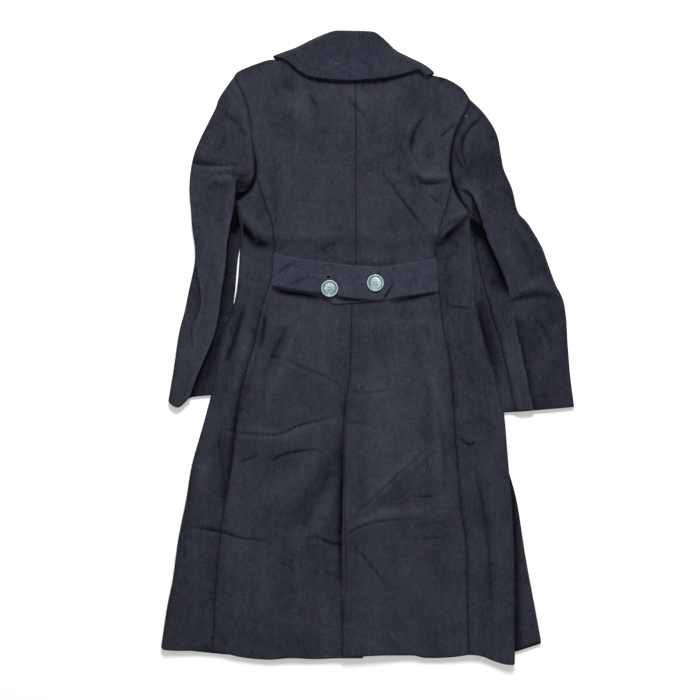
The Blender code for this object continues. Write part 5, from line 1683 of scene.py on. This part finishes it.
def pearl_material():
    """Turned pearl: a marbled grey-green dish, a dark ring inside the rim painted as shade, and a
    rim painted near-white as a highlight.
    """
    material, shader = new_shader("pearl_button", Roughness=0.28, Coat_Weight=0.35,
                                  Coat_Roughness=0.12)
    tree = material.node_tree
    place = tree.nodes.new("ShaderNodeTexCoord").outputs["Object"]
    radius = mark_of(tree, "radius")
    layers = noise(tree, place, 420.0, 3.0, 0.7)
    clouds = noise(tree, place, 62.0, 4.0, 0.5, Distortion=1.8)
    marbled = ramp(tree, mixed(tree, (clouds, 0.8), (layers, 0.2)), 0.40, 0.66)
    dish = blend_colour(tree, marbled, (0.060, 0.135, 0.140), (0.31, 0.47, 0.47))
    # Painted highlight: the rim is painted pale, near-white.
    edge = blend_colour(tree, layers, (0.34, 0.41, 0.44), (0.58, 0.65, 0.67))
    # Painted shade: a dark ring at the foot of the rim.
    groove = blend_colour(tree, ramp(tree, radius, 0.70, 0.80), dish, (0.045, 0.085, 0.085))
    colour = blend_colour(tree, ramp(tree, radius, 0.83, 0.87), groove, edge)
    dress_shader(tree, shader, colour, marbled, 0.35, 0.0003)
    return material


navy_wool = wool_material("navy_wool", (0.0105, 0.0124, 0.0172), (0.0405, 0.0440, 0.0585),
                          (0.0290, 0.0245, 0.0380), 1.0, 1.0, -0.55)
turned_wool = wool_material("turned_out_wool", (0.0145, 0.0167, 0.0245), (0.0490, 0.0538, 0.0740),
                            (0.0335, 0.0300, 0.0458), 0.8, 1.1, 0.22)
pearl = pearl_material()
for node, piece in cloth_pieces.items():
    turned_out = node.startswith(("belt", "collar"))
    piece.data.materials.append(turned_wool if turned_out else navy_wool)
for piece in button_pieces.values():
    piece.data.materials.clear()
    piece.data.materials.append(pearl)
print("materials: wool and pearl")

# %% [markdown]
# ## Thread, buttonholes and lint
#
# Stitches repeat along a line, so one Geometry Nodes tree makes them all: it sets points along
# a line at an even pitch, lays one small thread on each and turns it to follow the line or to
# cross it. The lines are dropped on to the cloth from above first, so they follow its creases.


# %% Lines that lie on the cloth
def surface_tree(piece):
    """A search tree over the faces of a piece."""
    data = piece.data
    return BVHTree.FromPolygons([v.co for v in data.vertices],
                                [list(f.vertices) for f in data.polygons])


surfaces = {node: surface_tree(piece) for node, piece in cloth_pieces.items()}


def laid(line, nodes, lift=0.0):
    """Points of a line in millimetres, put down on the highest of some pieces, in metres."""
    points = []
    for x, y in line:
        above = Vector((x * MM, y * MM, 0.06))
        hits = [surfaces[node].ray_cast(above, Vector((0, 0, -1)))[0] for node in nodes]
        tops = [hit.z for hit in hits if hit is not None]
        if tops:
            points.append((x * MM, y * MM, max(tops) + lift * MM))
    return points


def line_object(name, lines):
    """An object of edges only, from lists of points."""
    points, edges = [], []
    for line in lines:
        start = len(points)
        points.extend(line)
        edges.extend((start + k, start + k + 1) for k in range(len(line) - 1))
    data = bpy.data.meshes.new(name)
    data.from_pydata(points, edges, [])
    return add_object(name, data)


print("search trees:", len(surfaces))


# %% Stitches by Geometry Nodes
def random_number(tree, low, high, seed):
    """A random number for each point."""
    node = tree.nodes.new("FunctionNodeRandomValue")
    for place, value in ((2, low), (3, high), (8, seed)):
        wire(tree, node.inputs[place], value)
    return node.outputs[1]


def with_nodes(piece, tree, values):
    """Give a piece a Geometry Nodes tree with its inputs set, and turn the result to mesh."""
    modifier = piece.modifiers.new(tree.name, "NODES")
    modifier.node_group = tree
    for socket in tree.interface.items_tree:
        if socket.in_out == "INPUT" and socket.name in values:
            modifier[socket.identifier] = values[socket.name]
    applied(piece)
    piece.data.shade_smooth()
    return piece


def scattered(tree, given, out, points, shape, facing, angle, scale):
    """A shape on each point, turned about its upright; then all made real, with a material."""
    spin = link_new(tree, "FunctionNodeAxisAngleToRotation", Axis=(0.0, 0.0, 1.0), Angle=angle)
    turn = link_new(tree, "FunctionNodeRotateRotation", Rotation=facing,
                    Rotate_By=spin.outputs["Rotation"])
    turn.rotation_space = "LOCAL"
    placed = link_new(tree, "GeometryNodeInstanceOnPoints", Points=points, Instance=shape,
                      Rotation=turn.outputs["Rotation"], Scale=scale)
    real = link_new(tree, "GeometryNodeRealizeInstances", Geometry=placed.outputs["Instances"])
    done = link_new(tree, "GeometryNodeSetMaterial", Geometry=real.outputs["Geometry"],
                    Material=given["Material"])
    tree.links.new(done.outputs["Geometry"], out["Geometry"])
    return tree


def stitch_tree():
    """Small threads along a line, each turned by an angle from the line."""
    tree, given, out = node_group("stitches", "Geometry", [
        ("Geometry", "Geometry"), ("Pitch", "Float", 0.003), ("Length", "Float", 0.002),
        ("Thickness", "Float", 0.0005), ("Turn", "Float", 0.0), ("Unevenness", "Float", 0.1),
        ("Seed", "Int", 1), ("Material", "Material")], [("Geometry", "Geometry")])
    uneven = given["Unevenness"]
    curve = link_new(tree, "GeometryNodeMeshToCurve", Mesh=given["Geometry"])
    points = tree.nodes.new("GeometryNodeCurveToPoints")
    points.mode = "LENGTH"
    tree.links.new(curve.outputs["Curve"], points.inputs["Curve"])
    tree.links.new(given["Pitch"], points.inputs["Length"])
    along = link_new(tree, "FunctionNodeAlignRotationToVector", Vector=points.outputs["Tangent"])
    along.axis = "X"
    wander = random_number(tree, -1.0, 1.0, given["Seed"])
    angle = mixed(tree, (wander, uneven), start=given["Turn"])
    longer = mixed(tree, (random_number(tree, -1.0, 1.0, 7), uneven), start=1.0)
    thread = link_new(tree, "GeometryNodeMeshUVSphere", Segments=6, Rings=5, Radius=0.5)
    size = link_new(tree, "ShaderNodeCombineXYZ", X=times(tree, given["Length"], longer),
                    Y=given["Thickness"], Z=given["Thickness"])
    return scattered(tree, given, out, points.outputs["Points"], thread.outputs["Mesh"],
                     along.outputs["Rotation"], angle, size.outputs["Vector"])


STITCHES = stitch_tree()
print("stitch tree: %d nodes" % len(STITCHES.nodes))


# %% Thread materials
def thread_material(name, dark, light):
    """Twisted thread: two tones in fine slanting bands, a soft sheen."""
    material, shader = new_shader(name, Roughness=0.75, Sheen_Weight=0.1)
    tree = material.node_tree
    slanted = mapped(tree, tree.nodes.new("ShaderNodeTexCoord").outputs["Object"],
                    Rotation=(0.3, 0.2, 0.8), Scale=(1.0, 0.3, 1.0))
    twist = noise(tree, slanted, 1900.0, 2.0)
    colour = blend_colour(tree, ramp(tree, twist, 0.35, 0.65), dark, light)
    dress_shader(tree, shader, colour, twist, 0.6, 0.0002)
    return material


navy_thread = thread_material("navy_thread", (0.008, 0.009, 0.014), (0.040, 0.044, 0.062))
worn_thread = thread_material("worn_thread", (0.036, 0.040, 0.054), (0.115, 0.122, 0.148))
pale_thread = thread_material("pale_thread", (0.26, 0.27, 0.28), (0.60, 0.60, 0.59))
lint_material = thread_material("lint_fibre", (0.09, 0.095, 0.11), (0.27, 0.28, 0.30))
print("threads: navy, worn and pale; lint")

# %% Buttonholes
EYE = (2.5, 4.0)            # half height and half width of the eyelet, as it pulls open
SLIT_HALF = 0.45
KEYHOLE_LOW, KEYHOLE_HIGH = 13.6, 40.0   # the cut goes through the upper tab only
BUTTONHOLES = {
    "left": ((-100.5, 129.0), (-70.5, 125.5)),
    "right": ((-17.0, 117.0), (13.0, 115.0)),
}


def keyhole(start, end, grow=0.0):
    """The outline of a keyhole buttonhole, whose eyelet is at its end. grow widens it."""
    start, end = np.array(start, float), np.array(end, float)
    ahead = (end - start) / np.linalg.norm(end - start)
    aside = np.array([-ahead[1], ahead[0]])
    high, wide, half = EYE[0] + grow, EYE[1] + grow, SLIT_HALF + grow
    opening = math.asin(min(half / high, 0.95))
    angles = np.linspace(math.pi - opening, -math.pi + opening, 29)
    eye = [end + ahead * wide * math.cos(a) + aside * high * math.sin(a) for a in angles]
    back = start - ahead * grow
    steps = even(14)[:, None]
    upper = back + aside * half + (eye[0] - back - aside * half) * steps
    lower = eye[-1] + (back - aside * half - eye[-1]) * steps
    return np.vstack([upper[:-1], eye, lower[1:], upper[:1]])


def prism(name, outline, low, high):
    """A straight-sided solid from a closed outline in millimetres, to cut with."""
    ring = outline[:-1]
    count = len(ring)
    points = [(x * MM, y * MM, z * MM) for z in (low, high) for x, y in ring]
    sides = [(k, (k + 1) % count, (k + 1) % count + count, k + count) for k in range(count)]
    data = bpy.data.meshes.new(name)
    data.from_pydata(points, [], sides + [tuple(range(count)), tuple(range(count, 2 * count))])
    mesh = bmesh.new()
    mesh.from_mesh(data)
    bmesh.ops.recalc_face_normals(mesh, faces=mesh.faces[:])
    mesh.to_mesh(data)
    mesh.free()
    return add_object(name, data)


extra_pieces = {}
belt_top = cloth_pieces["belt_left"]
cut_out(belt_top, [prism("keyhole", keyhole(start, end), KEYHOLE_LOW, KEYHOLE_HIGH)
                   for start, end in BUTTONHOLES.values()])
edging = [laid(keyhole(start, end, 0.75), ["belt_left", "belt_right"], 0.12)
          for start, end in BUTTONHOLES.values()]
purls = line_object("buttonhole_stitches", edging)
extra_pieces["buttonhole_stitches"] = with_nodes(purls, STITCHES, {
    "Pitch": 0.8 * MM, "Length": 1.9 * MM, "Thickness": 0.62 * MM, "Turn": math.pi / 2,
    "Unevenness": 0.22, "Seed": 3, "Material": worn_thread})
print("buttonholes cut; stitches:", len(purls.data.polygons), "faces; marks kept:",
      [label for label in ("rim", "painted_shading") if label in belt_top.data.attributes])

# %% Rows of stitches
fall_line = smooth_line(COLLAR_FALL, 6)
collar_row = shifted(fall_line, -11.5)[6:-8]
lower_right = smooth_line(BELT_RIGHT_BOTTOM, 8)
upper_left = smooth_line(BELT_LEFT_TOP, 8)
seam_top = smooth_line(BELT_LEFT_BOTTOM, 8)
ROWS = {
    "collar_topstitch": ([collar_row], ["collar"], 3.1, 2.3, 0.5, 0.0, navy_thread),
    "belt_edge_stitches": ([shifted(lower_right, 2.8)[22:-2]], ["belt_right"],
                           2.4, 2.6, 0.55, 0.5, worn_thread),
    "belt_topstitch": ([shifted(upper_left, 3.2)[2:-2], shifted(seam_top, -3.4)[2:-2]],
                       ["belt_left"], 3.0, 2.0, 0.42, 0.0, navy_thread),
    "hem_stitches": ([np.array([(-93, -556.5), (-70, -557), (-44, -556)])],
                     ["back_left"], 3.4, 2.4, 0.6, 0.0, worn_thread),
    "seam_tack": ([np.array([(-287, -518), (-281, -518.5), (-268, -519)])],
                  ["back_left", "side_left"], 2.6, 3.2, 0.7, 0.0, navy_thread),
}
for name, (lines, nodes, pitch, length, thickness, turn, material) in ROWS.items():
    row = line_object(name, [laid(line, nodes, 0.1) for line in lines])
    extra_pieces[name] = with_nodes(row, STITCHES, {
        "Pitch": pitch * MM, "Length": length * MM, "Thickness": thickness * MM,
        "Turn": turn, "Unevenness": 0.14, "Seed": 5, "Material": material})
    print(name, len(row.data.polygons), "faces")


# %% Threads of the buttons, and a loose ring of thread
def thread_strand(name, paths, thickness, material):
    """Round thread along one or more paths, in metres."""
    curve = bpy.data.curves.new(name, "CURVE")
    curve.dimensions = "3D"
    curve.bevel_depth = thickness / 2
    curve.bevel_resolution = 1
    curve.use_fill_caps = True
    for path in paths:
        spline = curve.splines.new("POLY")
        spline.points.add(len(path) - 1)
        for point, place in zip(spline.points, path):
            point.co = (*place, 1.0)
    strand = add_object(name, curve)
    data = final_mesh(strand)
    bpy.data.objects.remove(strand)
    data.name = name
    data.materials.clear()
    data.materials.append(material)
    data.shade_smooth()
    return add_object(name, data)


def button_threads():
    """Two strands over the dish of each button, each down through two holes."""
    paths = []
    for node in BUTTON_CENTRES:
        first = math.pi / 4 + BUTTON_TURN[node]
        for angle, turn in ((first, math.pi / 2), (first + math.pi / 2 * 3, -math.pi / 2)):
            start, end = hole_place(node, angle), hole_place(node, angle + turn)
            for offset in (-0.35, 0.0, 0.35):
                path = []
                for t in even(13):
                    rise = 2.75 + 0.75 * math.sin(math.pi * t) - 2.4 * abs(2 * t - 1) ** 9
                    x, y = (a + (b - a) * t + offset * 0.6 for a, b in zip(start, end))
                    path.append((x * MM, y * MM, (BUTTON_SEAT + rise) * MM))
                paths.append(path)
    return thread_strand("button_threads", paths, 0.55 * MM, pale_thread)


extra_pieces["button_threads"] = button_threads()
ring = [(177.3 + (2.2 + 0.3 * math.sin(3 * a)) * math.cos(a), 414 + 1.9 * math.sin(a))
        for a in np.linspace(0.4, 6.4, 40)]
strays = [ring] + [smooth_line(points, 6) for points in (
    [(98, -218), (103, -221), (101, -226)], [(42, -514), (46, -518), (48, -524)],
    [(-60, 505), (-56, 509), (-50, 507)], [(110, -202), (113, -206), (112, -212)])]
on_top = [node for node in cloth_pieces if not node.startswith("front")]
extra_pieces["loose_threads"] = thread_strand(
    "loose_threads", [laid(line, on_top, 0.3) for line in strays], 0.42 * MM, lint_material)
print("threads on", len(BUTTON_CENTRES), "buttons,", len(strays), "loose ones")


# %% Lint
def lint_tree():
    """Short bent fibres and specks scattered over the upper faces of a piece."""
    tree, given, out = node_group("lint", "Geometry", [
        ("Geometry", "Geometry"), ("Density", "Float", 100.0), ("Size", "Float", 0.001),
        ("Slenderness", "Float", 0.2), ("Seed", "Int", 1), ("Material", "Material")],
        [("Geometry", "Geometry")])
    normal = tree.nodes.new("GeometryNodeInputNormal")
    upright = link_new(tree, "ShaderNodeSeparateXYZ", Vector=normal.outputs["Normal"])
    facing_up = math_node(tree, "GREATER_THAN", upright.outputs["Z"], 0.5)
    points = link_new(tree, "GeometryNodeDistributePointsOnFaces",
                      Mesh=given["Geometry"], Selection=facing_up,
                      Density=given["Density"], Seed=given["Seed"])
    arc = link_new(tree, "GeometryNodeCurveArc", Resolution=6, Radius=1.0, Sweep_Angle=2.1)
    section = link_new(tree, "GeometryNodeCurvePrimitiveCircle", Resolution=3, Radius=0.5)
    scale = link_new(tree, "ShaderNodeCombineXYZ",
                     **{axis: given["Slenderness"] for axis in "XYZ"})
    thin = link_new(tree, "GeometryNodeTransform", Geometry=section.outputs["Curve"],
                    Scale=scale.outputs["Vector"])
    fibre = link_new(tree, "GeometryNodeCurveToMesh", Curve=arc.outputs["Curve"],
                     Profile_Curve=thin.outputs["Geometry"], Fill_Caps=True)
    size = times(tree, given["Size"], random_number(tree, 0.4, 1.5, 13))
    return scattered(tree, given, out, points.outputs["Points"], fibre.outputs["Mesh"],
                     points.outputs["Rotation"], random_number(tree, 0.0, 6.28, 11), size)


LINT = lint_tree()


def upper_faces(name, nodes):
    """One mesh of the upper faces of some pieces, to scatter things on."""
    mesh = bmesh.new()
    for node in nodes:
        mesh.from_mesh(cloth_pieces[node].data)
    hidden = [face for face in mesh.faces if face.normal.z < 0.5]
    bmesh.ops.delete(mesh, geom=hidden, context="FACES")
    for face in mesh.faces:
        face.material_index = 0
    return as_object(name, mesh)


shown = ["back_left", "back_right", "side_left", "side_right", "collar", "belt_left",
         "sleeve_left_upper", "sleeve_left_under", "sleeve_right_upper", "sleeve_right_under"]
for name, density, size, slender, seed in (("lint_specks", 300.0, 0.36, 0.9, 2),
                                           ("lint_fibres", 300.0, 1.0, 0.2, 9)):
    piece = upper_faces(name, shown)
    extra_pieces[name] = with_nodes(piece, LINT, {
        "Density": density, "Size": size * MM, "Slenderness": slender, "Seed": seed,
        "Material": lint_material})
    print(name, len(piece.data.polygons), "faces")

# %% [markdown]
# ## Tell the library what each piece is
#
# Every piece rides on the one body of the coat and stands for its solid. The cloth pieces are
# declared as sheets, with the size of the cloth that each was cut from.

# %% Pieces, slots and sheets
CUT = {
    "back_left": ((0.28, 1.10), 0.229, ["coat_front_left"]),
    "back_right": ((0.24, 1.09), 0.202, ["coat_front_left", "coat_front_right"]),
    "side_left": ((0.17, 0.88), 0.090, ["floor", "coat_front_left"]),
    "side_right": ((0.17, 0.88), 0.103, ["coat_front_right"]),
    "front_left": ((0.40, 1.08), 0.309, ["floor", "coat_front_right"]),
    "front_right": ((0.47, 1.08), 0.358, ["floor"]),
    "sleeve_left_upper": ((0.18, 0.62), 0.084, ["floor"]),
    "sleeve_left_under": ((0.10, 0.46), 0.023, ["floor"]),
    "sleeve_right_upper": ((0.24, 0.64), 0.108, ["floor"]),
    "sleeve_right_under": ((0.13, 0.48), 0.037, ["floor"]),
    "collar": ((0.13, 0.38), 0.033, ["coat_back_left", "coat_back_right"]),
    "belt_left": ((0.064, 0.220), 0.013, ["coat_back_left", "coat_belt_right"]),
    "belt_right": ((0.064, 0.215), 0.012, ["coat_back_right"]),
}


def shell_area(piece):
    """Half the surface of a closed shell, in square metres: the area of its cloth."""
    return sum(face.area for face in piece.data.polygons) / 2


for node, piece in cloth_pieces.items():
    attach(piece, "root")
    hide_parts(node)
    print(node, "cloth %.3f m2, declared %.3f" % (shell_area(piece), CUT[node][1]),
          "box %s" % [round(d, 3) for d in piece.dimensions])
for node, piece in button_pieces.items():
    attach(piece, "root")
    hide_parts(node)
for name, piece in extra_pieces.items():
    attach(piece, "root")
for node, piece in cloth_pieces.items():
    size, area, rests_on = CUT[node]
